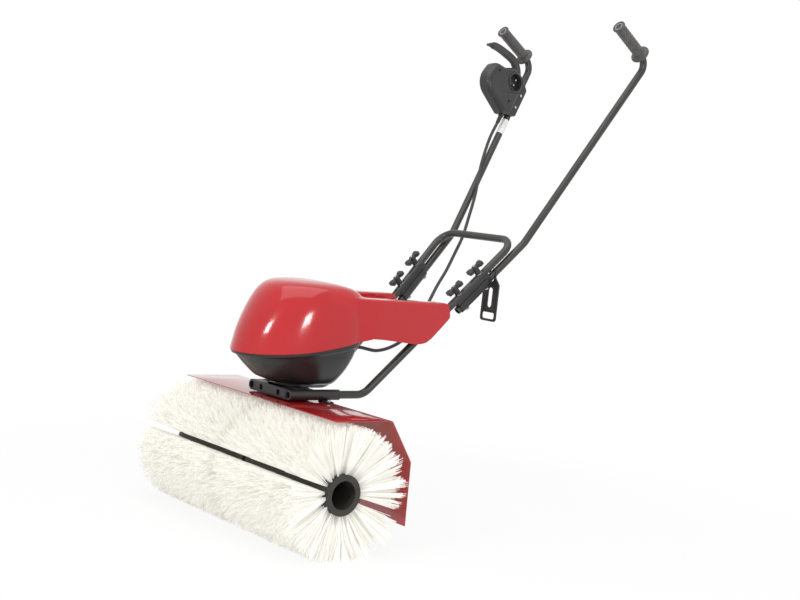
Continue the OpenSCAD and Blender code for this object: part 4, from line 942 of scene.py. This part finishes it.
def knob():
    wing = [(3.6, -3.8), (8, -3.8), (knob_half - 10, -8.8), (knob_half, -8.8), (knob_half, 8.8),
            (knob_half - 10, 8.8), (8, 3.8), (3.6, 3.8)]
    parts = []
    for turned_by in (0, math.pi):
        blade = plate(rounded(wing, [0, 3, 3, 2, 2, 3, 3, 0], 4), knob_h - 10, knob_h, 1.0, 1.4)
        parts.append((blade, Matrix.Rotation(turned_by, 4, "Z")))
    hub = turned([(knob_bore, 0), (7.2, 0), (8, 1), (8, knob_h - 8), (7.4, knob_h - 0.6), (6.8, knob_h),
                  (knob_bore, knob_h)], 32)
    return merge(parts + [(hub, Matrix())])


for side, matrix in both_sides:
    for level, at in (("lower", clamp_at), ("upper", clamp_at + clamp_pitch)):
        name = f"knob_{side}_{level}"
        seat = matrix @ on_leg(at) @ Matrix.Translation((0, 0, knob_base))
        wear(show(f"{name}_wings", knob(), seat, knob_black), f"{name}_turn", "black_plastic", name)

# %% [markdown]
# ## Grips
# Each grip is a rubber sleeve with a thick flange at its foot and a raised rim round its tip. It is turned
# from a profile, and Geometry Nodes set small raised dots over the sleeve in a staggered pattern.

# %% Grip sleeves
grip_r, grip_flange_r = 14.5, 25


def grip_sleeve():
    r, flange, bore, end = grip_r, grip_flange_r, tube_r + 0.1, grip_len
    return turned([
        (bore, 0), (flange - 3.5, 0), (flange - 1, 1), (flange, 3.4), (flange, 5.6), (flange - 1, 8),
        (flange - 3.5, 9), (r + 2.5, 9.3), (r + 0.6, 10.2), (r, 12), (r - 0.4, end / 2), (r, end - 9),
        (r + 0.8, end - 6.4), (r + 2.1, end - 5), (r + 2.5, end - 3.5), (r + 2.5, end - 1.6),
        (r + 1.6, end - 0.2), (r + 0.4, end), (r - 1.2, end), (r - 1.6, end - 0.6), (r - 1.6, end - 3.4),
        (3.6, end - 3.4), (3, end - 1.8), (0, end - 1.4), (0, end - 4), (bore, end - 4)], 64)


# A raised ring inside each grip's tip, painted pale grey as a highlight on the rim of the recess.
def tip_highlight_ring():
    end = grip_len
    return turned([(8.2, end - 3), (11.2, end - 3), (11.2, end - 0.9), (10.7, end - 0.5), (8.7, end - 0.5),
                   (8.2, end - 0.9)], 48)


# %% Helpers for trees that repeat a shape
def vector(tree, x, y, z):
    return node(tree, "ShaderNodeCombineXYZ", {"X": x, "Y": y, "Z": z}).outputs[0]


def vectors(tree, operation, inputs):
    return node(tree, "ShaderNodeVectorMath", inputs, operation=operation)


def scatter(tree, points, shape, way, scale=(1, 1, 1)):
    """A copy of a shape on every point, with its Z along a direction."""
    facing = node(tree, "FunctionNodeAlignRotationToVector", {"Vector": way}, axis="Z")
    return node(tree, "GeometryNodeInstanceOnPoints", {
        "Points": points, "Instance": shape, "Rotation": facing.outputs[0], "Scale": scale}).outputs[0]


# %% Raised dots
def dot_tree():
    tree, given = node_tree(
        "raised_dots", ("Around", "Int", 14), ("Along", "Int", 17), ("Radius", "Float", 0.0142),
        ("Start", "Float", 0.016), ("Pitch", "Float", 0.0053), ("Dot", "Float", 0.0016))
    count = given["Around"]
    index = Number(tree, node(tree, "GeometryNodeInputIndex").outputs[0])
    row = (index / count).maths("FLOOR")
    column = index % count + row % 2 * 0.5
    angle = column / count * (2 * math.pi)
    way = vector(tree, angle.maths("COSINE"), angle.maths("SINE"), 0)
    reach = vectors(tree, "SCALE", {0: way, "Scale": given["Radius"]}).outputs[0]
    height = vector(tree, 0, 0, row * given["Pitch"] + given["Start"])
    place = vectors(tree, "ADD", {0: reach, 1: height}).outputs[0]
    points = node(tree, "GeometryNodePoints", {"Count": count * given["Along"]}).outputs[0]
    move = node(tree, "GeometryNodeSetPosition", {"Geometry": points, "Position": place})
    bead = node(tree, "GeometryNodeMeshIcoSphere", {"Subdivisions": 1, "Radius": given["Dot"]})
    copies = scatter(tree, move.outputs[0], bead.outputs["Mesh"], way, (1.15, 1.15, 0.7))
    return close_tree(tree, given, copies)


raised_dots = dot_tree()
for side, matrix in both_sides:
    seat = matrix @ on_grip @ Matrix.Translation((grip_bend, 0, 0)) @ Matrix.Rotation(math.pi / 2, 4, "Y")
    sleeve_piece = show(f"grip_sleeve_{side}", grip_sleeve(), seat, grip_rubber)
    wear(sleeve_piece, "chassis", "grip_rubber", f"grip_{side}")
    # The tip ring carries a painted highlight in its pale grey finish.
    wear(show(f"grip_tip_highlight_{side}", tip_highlight_ring(), seat, tip_highlight_grey), "chassis", "grip_rubber")
    dots = settle(grow(f"grip_dots_{side}", bpy.data.meshes.new("dots"), raised_dots, {}, dot_rubber))
    dots.data.transform(to_frame @ seat @ Matrix.Scale(1 / MM, 4))
    if side == "right":
        dots.data.flip_normals()
    dots.data.shade_smooth()
    wear(dots, "chassis", "grip_rubber")

# %% [markdown]
# ## Cord hook
# The hook is a flat moulding that hangs on the left upper tube, with an eye, a long slot and a window for
# loops of cord. A filled flat curve takes holes and rounded edges in one step, and is made a mesh at once.

# %% Cord hook
hook_half_w, hook_len, hook_t, hook_at = 28, 134, 4, 458
hook_eye = tube_r + 0.4
hook_eye_up = (hook_eye + hook_t / 2 * leg_dir.z) / leg_dir.y
hook_low = hook_eye_up + 5
hook_top = hook_eye_up + 1.6
hook_foot = hook_top - hook_len
hook_half = hook_eye + 3.5
hook_post = leg_foot + leg_dir * hook_at + leg_back * tube_step


def hook_outlines():
    arch = bow(hook_half, hook_top, 0, math.pi, 7)
    outer = arch + [(-hook_half, -hook_low), (-hook_half_w, -hook_low - 12), (-hook_half_w, hook_foot),
                    (hook_half_w, hook_foot), (hook_half_w, -hook_low - 2), (hook_half, -6)]
    edge = rounded(outer, [6] * 7 + [4, 5, 8, 8, 5, 4], 6)
    eye = bow(hook_eye * 1.001, hook_eye_up, 0, 2 * math.pi, 49)[:-1]
    slot_r, slot_top = 7.5, -hook_low - 10
    slot = bow(slot_r, slot_r, 0, math.pi, 13, (0, slot_top - slot_r))
    slot += bow(-slot_r, -slot_r, 0, math.pi, 13, (0, slot_top - 42.5))
    low = hook_foot + 6
    window = rounded([(-21, low), (21, low), (21, low + 16), (-21, low + 16)], 4.5, 5)
    return [edge, eye, slot, window]


def flat_moulding(outlines, thickness, edge):
    curve = bpy.data.curves.new("flat_moulding", "CURVE")
    curve.dimensions = "2D"
    curve.fill_mode = "BOTH"
    curve.bevel_depth = edge
    curve.bevel_resolution = 2
    curve.extrude = thickness / 2 - edge
    curve.offset = -edge
    for points in outlines:
        add_line(curve, points, True)
    holder = stand("flat_moulding", curve)
    mesh = plain_mesh(holder)
    bpy.data.objects.remove(holder)
    bm = bmesh.new()
    bm.from_mesh(mesh)
    bpy.data.meshes.remove(mesh)
    return bm


hook_frame = axes((1, 0, 0), (0, 0, 1), (0, -1, 0), hook_post)
hook_plate = show("cord_hook_plate", flat_moulding(hook_outlines(), hook_t, 0.9), hook_frame, knob_black)
wear(hook_plate, "cord_hook_body", "black_plastic", "cord_hook")

# %% [markdown]
# ## Switch box and lever
# The box is two moulded shells round the right tube. The inner shell is deep where the switch is and low
# over the tube, and carries the round power inlet. A bent lever comes out of its top towards the grip.

# %% Switch box shells
box_in, box_low, box_out = 26, 14, 14
on_right = mirror_x @ on_grip
box_frame = to_frame @ on_right
box_outline = [(-13, -176), (38, -205), (151, -178), (137, -102), (97, -91), (67, -66), (13, -68), (-13, -86)]
box_radii = [5, 8, 45, 22, 10, 14, 8, 8]
deep_outline = [(11, -189.65)] + box_outline[1:7] + [(11, -69.4)]
deep_radii = [4, 8, 45, 22, 10, 14, 6, 1]
low_outline = [(-13, -176), (12.5, -190.4), (12.5, -68.45), (-13, -86)]
box_middle = Vector((72, -134))
box_posts = [(117, -118), (41, -166)]
inlet_at = Vector((47, -105, 0))
inlet_r, inlet_floor = 26, 10
past_face = 40


def domed(outline, base, face, depth, inset):
    """A flat outline pushed from base to face, with a wide rounding before the face."""
    way = math.copysign(1, face - base)
    steps = [(base, 1)] + [(face - way * depth * (1 - math.sin(a)), 1 - inset * (1 - math.cos(a)))
                           for a in np.linspace(0, math.pi / 2, 11)]
    steps += [(face, (1 - inset) * share) for share in (0.8, 0.6, 0.4, 0.2)]
    return loft([[(*(box_middle + (Vector(q) - box_middle) * scale), z) for q in outline]
                 for z, scale in steps])


def lever_room():
    return placed(block(12, 68, -89, -40, -7, 7, 0), box_frame)


def box_bore(x, y, r, z0, z1):
    return placed(rod(r, z0, z1, 48), box_frame @ Matrix.Translation((x, y, 0)))


inner_shell = show("switch_box_face", domed(rounded(deep_outline, deep_radii), 0.05, box_in, 17, 0.19),
                   on_right, box_black)
flange_shape = plate(rounded(low_outline, [5, 0, 0, 8]), 0.05, box_low, 0, 1.5)
box_flange = show("switch_box_flange", flange_shape, on_right, box_black)
wear(box_flange, "chassis", "black_plastic", "switch_box_inner")
ring_groove = turned([(29.4, box_in - 1.4), (30.8, box_in - 1.4), (30.8, past_face), (29.4, past_face)], 56)
ring_groove.transform(box_frame @ Matrix.Translation(inlet_at))
line_groove = block(0.4, 58, -0.6, 0.6, box_in - 1.2, past_face, 0)
line_groove.transform(box_frame @ Matrix.Translation((30.75, -130.3, 0)) @ Matrix.Rotation(-0.57, 4, "Z"))
carve(inner_shell, [box_bore(inlet_at.x, inlet_at.y, inlet_r + 0.1, 4, past_face), lever_room()]
      + [box_bore(x, y, 3.4, box_in - 8, past_face) for x, y in box_posts] + [ring_groove, line_groove])
wear(inner_shell, "chassis", "black_plastic", "switch_box_inner")
back_shape = domed(rounded(box_outline, box_radii), -0.35, -box_out, 9, 0.13)
outer_shell = carve(show("switch_box_back", back_shape, on_right, box_black), [lever_room()])
wear(outer_shell, "chassis", "black_plastic", "switch_box_outer")

# %% Power inlet
cup_inner, rim = inlet_r - 2.5, box_in + 1
cup = turned([(0, inlet_floor - 3), (inlet_r, inlet_floor - 3), (inlet_r, rim), (inlet_r - 0.6, rim + 0.6),
              (cup_inner + 0.6, rim + 0.6), (cup_inner, rim), (cup_inner, inlet_floor), (12.5, inlet_floor),
              (12, inlet_floor + 2), (0, inlet_floor + 2)], 56)
inlet_cup = show("power_inlet_cup", cup, on_right @ Matrix.Translation(inlet_at), box_black)
wear(inlet_cup, "chassis", "black_plastic", "power_inlet")

# %% Switch lever
lever_pivot = Vector((21, -80))
lever_line = [lever_pivot] + [Vector(p) for p in ((42, -53), (64, -37), (104, -40), (148, -52), (173, -70))]
# Each pair is a place along the lever, counted in its points, and the blade's width on that side.
lever_up = ((0, 7), (0.5, 11), (1, 12), (1.6, 10), (2, 8), (3, 7), (4.3, 6.5), (4.5, 3), (5, 2.6))
lever_down = ((0, 7), (1, 10), (2, 13), (3, 13), (4, 11.5), (4.34, 10.5), (4.5, 4), (5, 3.4))


def lever_blade():
    fine = [Vector((p.x, p.y, 0)) for p in smooth_line(lever_line, 6)]
    spots = np.linspace(0, len(lever_line) - 1, len(fine))
    over, under = (np.interp(spots, *zip(*table)) for table in (lever_up, lever_down))
    upper, lower = [], []
    for i, p in enumerate(fine):
        d = unit(fine[min(i + 1, len(fine) - 1)] - fine[max(i - 1, 0)])
        side = Vector((-d.y, d.x, 0))
        upper.append((p + side * over[i]).to_2d())
        lower.append((p - side * under[i]).to_2d())
    root = bow(8.2, 8.2, -0.85, -3.6, 12, lever_pivot)
    return plate(upper + lower[::-1][:-1] + root, -6, 6, 1.8, 1.8, 4)


lever = show("switch_lever_blade", lever_blade(), on_right, lever_black)
carve(lever, [box_bore(lever_pivot.x, lever_pivot.y, 3.05, -20, 20)])
wear(lever, "switch_lever_body", "black_plastic", "switch_lever")

# %% Blank wrap on the right tube
wrap_line = [mirror_x @ (grip_corner - tube_up * d) for d in np.linspace(199, 246, 8)]
wear(tube("tube_wrap_blank", wrap_line, tube_r + 0.35, 0.3, blank_wrap, 40), "chassis", "black_paint")

# %% [markdown]
# ## Screws and bolts
# Fasteners repeat, so one node tree makes them all: points carry the direction of each screw, and the tree
# sets a head with a chamfer, a washer and a shank on every point.


# %% Fastener tree
def fastener_tree():
    tree, given = node_tree(
        "fastener_set", ("Head Radius", "Float", 0.005), ("Head Height", "Float", 0.004),
        ("Head Sides", "Int", 6), ("Washer Radius", "Float", 0.006), ("Washer Height", "Float", 0.001),
        ("Shank Radius", "Float", 0.0025), ("Shank Height", "Float", 0.02))
    radius, height, sides = given["Head Radius"], given["Head Height"], given["Head Sides"]

    def lifted(shape, lift):
        return node(tree, "GeometryNodeTransform", {
            "Geometry": shape.outputs["Mesh"], "Translation": vector(tree, 0, 0, lift)}).outputs[0]

    def cylinder(name, sides, lift):
        depth = given[name + " Height"]
        shape = node(tree, "GeometryNodeMeshCylinder", {
            "Vertices": sides, "Radius": given[name + " Radius"], "Depth": depth}, fill_type="NGON")
        return lifted(shape, depth * lift)

    cap = node(tree, "GeometryNodeMeshCone", {
        "Vertices": sides, "Radius Top": radius * 0.78, "Radius Bottom": radius, "Depth": height * 0.22},
        fill_type="NGON")
    joined = node(tree, "GeometryNodeJoinGeometry")
    for part in (cylinder("Head", sides, 0.5), lifted(cap, height * 0.96), cylinder("Washer", 28, 0.5),
                 cylinder("Shank", 16, -0.5)):
        tree.links.new(part, joined.inputs[0])
    heading = node(tree, "GeometryNodeInputNamedAttribute", {"Name": "heading"}, data_type="FLOAT_VECTOR")
    return close_tree(tree, given, scatter(tree, given["Geometry"], joined.outputs[0], heading.outputs[0]))


fastener_set = fastener_tree()


def fasteners(name, spots, head, washer, shank, sides=6):
    """Spots are pairs of a place and a heading, and each size is a radius and a height, in millimetres."""
    points = bpy.data.meshes.new(name)
    points.from_pydata([to_frame @ Vector(p) for p, _ in spots], [], [])
    heading = points.attributes.new("heading", "FLOAT_VECTOR", "POINT")
    heading.data.foreach_set("vector", [c for _, d in spots for c in unit(d)])
    values = {"Head Sides": sides}
    for part, (radius, height) in (("Head", head), ("Washer", washer), ("Shank", shank)):
        values[part + " Radius"] = radius * MM
        values[part + " Height"] = height * MM
    return smooth(settle(grow(name, points, fastener_set, values, bright_zinc)), 28)


# %% Fasteners
upward = (0, 0, 1)
guard_bolt_spots = [((x, 97, guard_top + 4), upward) for x in (-95, 95)]
guard_bolts = fasteners("guard_bolt_set", guard_bolt_spots, (5, 3.6), (6.5, 0.8), (2.45, 12))
wear(guard_bolts, "chassis", "zinc", "guard_bolts")
pad_spots = []
for k in range(4):
    a = math.radians(45 + 90 * k)
    spot = (bolt_circle * math.cos(a), worm_centre + bolt_circle * math.sin(a), bracket_high - 6)
    pad_spots.append((spot, upward))
pad_bolts = fasteners("bracket_bolt_set", pad_spots, (5.6, 3.6), (6, 0.5), (2.95, 20))
wear(pad_bolts, "chassis", "zinc", "bracket_bolts")
inward = (on_right.to_3x3() @ Vector(upward)).normalized()
box_spots = [(on_right @ Vector((0, y, box_low)), inward) for y in (-113, -154)]
box_spots += [(on_right @ Vector((x, y, box_in - 8)), inward) for x, y in box_posts]
box_screws = fasteners("box_screw_set", box_spots, (4, 1.7), (4, 0.3), (1.95, 6), 24)
wear(box_screws, "chassis", "zinc", "switch_box_screws")

# %% [markdown]
# ## Brush hubs
# Each side of the brush has two half shells. They meet at a pair of raised ribs, which show as the dark
# strip without bristles. The cross-section of a half shell is an outline, pushed along the axle.

# %% Brush hubs
hub_r, hub_bore = 46, 32
hub_inner_x, hub_outer_x = 23, 310
joint_turn, bare_angle = 18, 18
brush_halves = (("upper", joint_turn), ("lower", joint_turn + 180))
# Each pair of the rib is its height over the hub and its degrees from the joint.
hub_rib = [(3, 0), (3.4, 0.6), (3.4, 4.4), (2.8, 5.2), (0, 5.6)]


def around(radius, degrees):
    """A point round the axle: angles run from the front over the top."""
    a = math.radians(degrees)
    return Vector((-radius * math.cos(a), radius * math.sin(a)))


def half_shell(start):
    first, last = start + 0.15, start + 179.85
    edge = [around(hub_r + up, first + on) for up, on in hub_rib]
    edge += [around(hub_r, a) for a in np.linspace(first + 9, last - 9, 44)]
    edge += [around(hub_r + up, last - on) for up, on in hub_rib[::-1]]
    edge += [around(hub_bore, a) for a in np.linspace(last, first, 40)]
    return plate(edge[::-1], hub_inner_x, hub_outer_x, 1.2, 2.4)


for half, start in brush_halves:
    shells = merge([(half_shell(start), matrix @ lengthwise) for _, matrix in both_sides])
    wear(show(f"hub_{half}_shells", shells, Matrix(), hub_grey, 32), "brush", "hub_grey", f"hub_{half}")

# %% [markdown]
# ## Bristles
# The brush has some fifty thousand nylon strands in tufts. They could be particle hair, but hair is lost in
# an export, so Geometry Nodes place a thin three-sided cone for each strand. The strands of a tuft start
# close together, spread towards the tips, lean outwards at the brush's ends, and bend where they meet the
# floor. Each side of the brush is made in parts, so that every mesh stays light.


# %% Bristle tree
def bristle_tree():
    tree, given = node_tree(
        "bristle_field", ("Strands", "Int", 1000), ("Seed", "Int", 1), ("Inner X", "Float", 0.023),
        ("Outer X", "Float", 0.31), ("Side", "Float", 1), ("Start", "Float", 0.5), ("Span", "Float", 2.8),
        ("Hub Radius", "Float", 0.045), ("Reach", "Float", 0.155), ("Rows", "Int", 13), ("Tufts", "Int", 26),
        ("Splay", "Float", 0.03), ("Thickness", "Float", 0.0008), ("Floor", "Float", -0.139))
    index = Number(tree, node(tree, "GeometryNodeInputIndex").outputs[0])
    lock = (index / 4).maths("FLOOR")

    def chance(low, high, shift, **shared):
        """A random number for each strand, or one that a lock of four strands shares."""
        dice = node(tree, "FunctionNodeRandomValue", {
            2: low, 3: high, "Seed": given["Seed"] + shift, **shared}, data_type="FLOAT")
        return Number(tree, dice.outputs[1])

    def spot(x, angle, radius):
        """A place along the axle, turned round it at a radius."""
        back = angle.maths("COSINE") * (radius * -1)
        return vector(tree, x * given["Side"], back, angle.maths("SINE") * radius)

    def mark(geometry, name, value):
        return node(tree, "GeometryNodeStoreNamedAttribute", {
            "Geometry": geometry, "Name": name, "Value": value}, data_type="FLOAT", domain="POINT").outputs[0]

    rows, tufts, inner_x = given["Rows"], given["Tufts"], given["Inner X"]
    row = (chance(0, 0.99999, 1, ID=lock) * rows).maths("FLOOR")
    tuft = (chance(0, 0.99999, 2, ID=lock) * tufts).maths("FLOOR")
    ahead = chance(-0.5, 0.5, 3, ID=lock)
    beside = chance(-0.5, 0.5, 4, ID=lock)
    column = tuft + row % 2 * 0.5 + 0.25
    share = (column + (ahead * 0.45 + 0.25)) / (tufts + 0.5)
    x = inner_x + share * (given["Outer X"] - inner_x)
    step = given["Span"] / rows
    middle = given["Start"] + (row + 0.5) * step
    root = spot(x, middle + beside * 0.5 * step, given["Hub Radius"])

    lean = given["Splay"] * share ** 5 + (1 - share) ** 7 * -0.014
    fan = ahead * 0.016 + chance(-0.003, 0.003, 5)
    tip_x = (x + lean + fan).maths("MAXIMUM", 0.006)
    tip_angle = middle + beside * 1.15 * step + chance(-0.02, 0.02, 6)
    tip = spot(tip_x, tip_angle, given["Reach"] * chance(0.9, 1.0, 7))
    run = vectors(tree, "SUBTRACT", {0: tip, 1: root}).outputs[0]
    length = vectors(tree, "LENGTH", {0: run}).outputs["Value"]

    position = node(tree, "GeometryNodeInputPosition").outputs[0]
    here = node(tree, "ShaderNodeSeparateXYZ", {0: position}).outputs
    cone = node(tree, "GeometryNodeMeshCone", {
        "Vertices": 3, "Side Segments": 2, "Radius Top": 0.72, "Radius Bottom": 1, "Depth": 1},
        fill_type="NGON")
    strand = mark(cone.outputs["Mesh"], "way_out", here["Z"])
    points = node(tree, "GeometryNodePoints", {"Count": given["Strands"]}).outputs[0]
    roots = node(tree, "GeometryNodeSetPosition", {"Geometry": points, "Position": root}).outputs[0]
    toned = mark(roots, "tone", chance(0, 1, 8))
    thick = given["Thickness"] * chance(0.8, 1.2, 9)
    copies = scatter(tree, toned, strand, run, vector(tree, thick, thick, length))
    real = node(tree, "GeometryNodeRealizeInstances", {"Geometry": copies}).outputs[0]
    sunk = (given["Floor"] - here["Z"]).maths("MAXIMUM", 0)
    slide = sunk * Number(tree, here["Y"]).maths("SIGN") * 0.9
    bend = node(tree, "GeometryNodeSetPosition", {"Geometry": real, "Offset": vector(tree, 0, slide, sunk)})
    return close_tree(tree, given, bend.outputs[0])


bristle_field = bristle_tree()

# %% Bristle parts
strands_each = 13000
bristle_reach = 0.156
floor_z = -axle.z / MM + 0.5
seed = 3
for side, way in (("left", 1), ("right", -1)):
    for half, start in brush_halves:
        values = {"Strands": strands_each, "Seed": seed, "Side": way, "Reach": bristle_reach,
                  "Start": math.radians(start + bare_angle / 4), "Span": math.radians(180 - bare_angle / 2),
                  "Floor": floor_z * MM}
        seed += 40
        strands = bpy.data.meshes.new("strands")
        piece = settle(grow(f"bristles_{side}_{half}", strands, bristle_field, values, ivory_nylon))
        piece.data.transform(Matrix.Translation(axle))
        wear(piece, "brush", "bristle_ivory", f"bristles_{side}")

# %% [markdown]
# ## Finishes on the solids that stay
# The inner motor, the gears, the axle and the small hardware keep their solids. Each gets its own finish.

# %% Finishes on the solids that stay
kept = {
    bright_zinc: ("cover_screws", "column_screws", "gear_case_bolts", "clamp_bolts", "clamp_washers",
                  "inlet_pins", "hub_screws", "hitch_pins"),
    turned_steel: ("motor_frame", "field_stator", "motor_bearings", "axle", "wheel_key", "drive_hubs",
                   "motor_shaft", "worm", "rotor_core", "lever_pin", "lever_spring"),
    cast_bronze: ("axle_bushes", "worm_wheel"),
    wound_copper: ("field_coils", "commutator"),
    cast_black: ("gear_column", "gear_case_left", "gear_case_right"),
    box_black: ("bearing_plates", "cooling_fan", "micro_switch"),
    cable_rubber: ("carbon_brushes", "axle_seals"),
}
for material, names in kept.items():
    for name in names:
        paint(frame["nodes"][name], material)
print("kept solids", sum(len(names) for names in kept.values()))

# %% [markdown]
# ## Floor and light
# The machine stands on a plain pale floor in soft studio light. The floor and the world look white to the
# camera and in reflections, while the light on the object stays at a plain level. A large lamp above gives
# the soft light, and two small ones in front and at the side give the bright windows on the gloss cover.


# %% Floor
def seen_rays(tree):
    """One for rays that see the studio, also in a reflection or through glass, and zero for its light."""
    rays = node(tree, "ShaderNodeLightPath").outputs
    direct = Number(tree, rays["Is Camera Ray"]).maths("MAXIMUM", rays["Is Glossy Ray"])
    return direct.maths("MAXIMUM", rays["Is Transmission Ray"])


def floor_finish():
    material, tree = new_material("pale_floor")
    tree.nodes.clear()
    place = node(tree, "ShaderNodeTexCoord").outputs["Object"]
    cloud = node(tree, "ShaderNodeTexNoise", {"Vector": place, "Scale": 2}).outputs["Fac"]
    pale = node(tree, "ShaderNodeMix", {"Factor": cloud, 6: (0.86, 0.86, 0.86, 1), 7: (0.9, 0.9, 0.9, 1)},
                data_type="RGBA")
    matte = node(tree, "ShaderNodeBsdfDiffuse", {"Color": pale.outputs[2]}).outputs[0]
    white = node(tree, "ShaderNodeEmission", {"Strength": 1}).outputs[0]
    away = vectors(tree, "LENGTH", {0: place}).outputs["Value"]
    fade = node(tree, "ShaderNodeMapRange", {
        "Value": away, "From Min": 0.6, "From Max": 1.5, "To Min": 0.86, "To Max": 1.0},
        interpolation_type="SMOOTHSTEP").outputs["Result"]
    mix = node(tree, "ShaderNodeMixShader", {0: seen_rays(tree) * fade, 1: matte, 2: white})
    node(tree, "ShaderNodeOutputMaterial", {"Surface": mix.outputs[0]})
    return material


floor_half, floor_level = 30, -0.0004
floor_corners = [(x * floor_half, y * floor_half, floor_level)
                 for x, y in ((-1, -1), (1, -1), (1, 1), (-1, 1))]
floor_mesh = bpy.data.meshes.new("studio_floor")
floor_mesh.from_pydata(floor_corners, [], [(0, 1, 2, 3)])
floor_mesh.materials.append(floor_finish())
studio_floor = stand("studio_floor", floor_mesh)

# %% World
soft_level, seen_level = 0.66, 1.0
world = bpy.data.worlds.new("studio")
scene.world = world
world.use_nodes = True
sky = world.node_tree
sky.nodes.clear()
soft, white_wall = (node(sky, "ShaderNodeBackground", {"Color": (1, 1, 1, 1), "Strength": level}).outputs[0]
                    for level in (soft_level, seen_level))
sky_mix = node(sky, "ShaderNodeMixShader", {0: seen_rays(sky), 1: soft, 2: white_wall})
node(sky, "ShaderNodeOutputWorld", {"Surface": sky_mix.outputs[0]})


# %% Lamps
def lamp(name, place, target, width, height, power):
    data = bpy.data.lights.new(name, "AREA")
    data.shape = "RECTANGLE"
    data.size, data.size_y = width, height
    data.energy = power
    holder = stand(name, data)
    holder.location = place
    holder.rotation_euler = (Vector(target) - Vector(place)).to_track_quat("-Z", "Y").to_euler()


lamp("soft_top", (0.4, -0.6, 3.2), (0, -0.2, 0.3), 3, 3, 40)
lamp("window_front", (0.88, -2.6, 1.48), (0.06, -0.46, 0.47), 0.36, 0.42, 15)
lamp("window_side", (2.55, -0.55, 1.01), (0.11, -0.39, 0.5), 0.42, 0.32, 12)
scene.view_settings.view_transform = "Standard"
print("lamps", len(bpy.data.lights))

# %% [markdown] Update the view layer
# The visual model has to stay inside the box of the solids, apart from a little that soft bristles may
# stand proud.

bpy.context.view_layer.update()
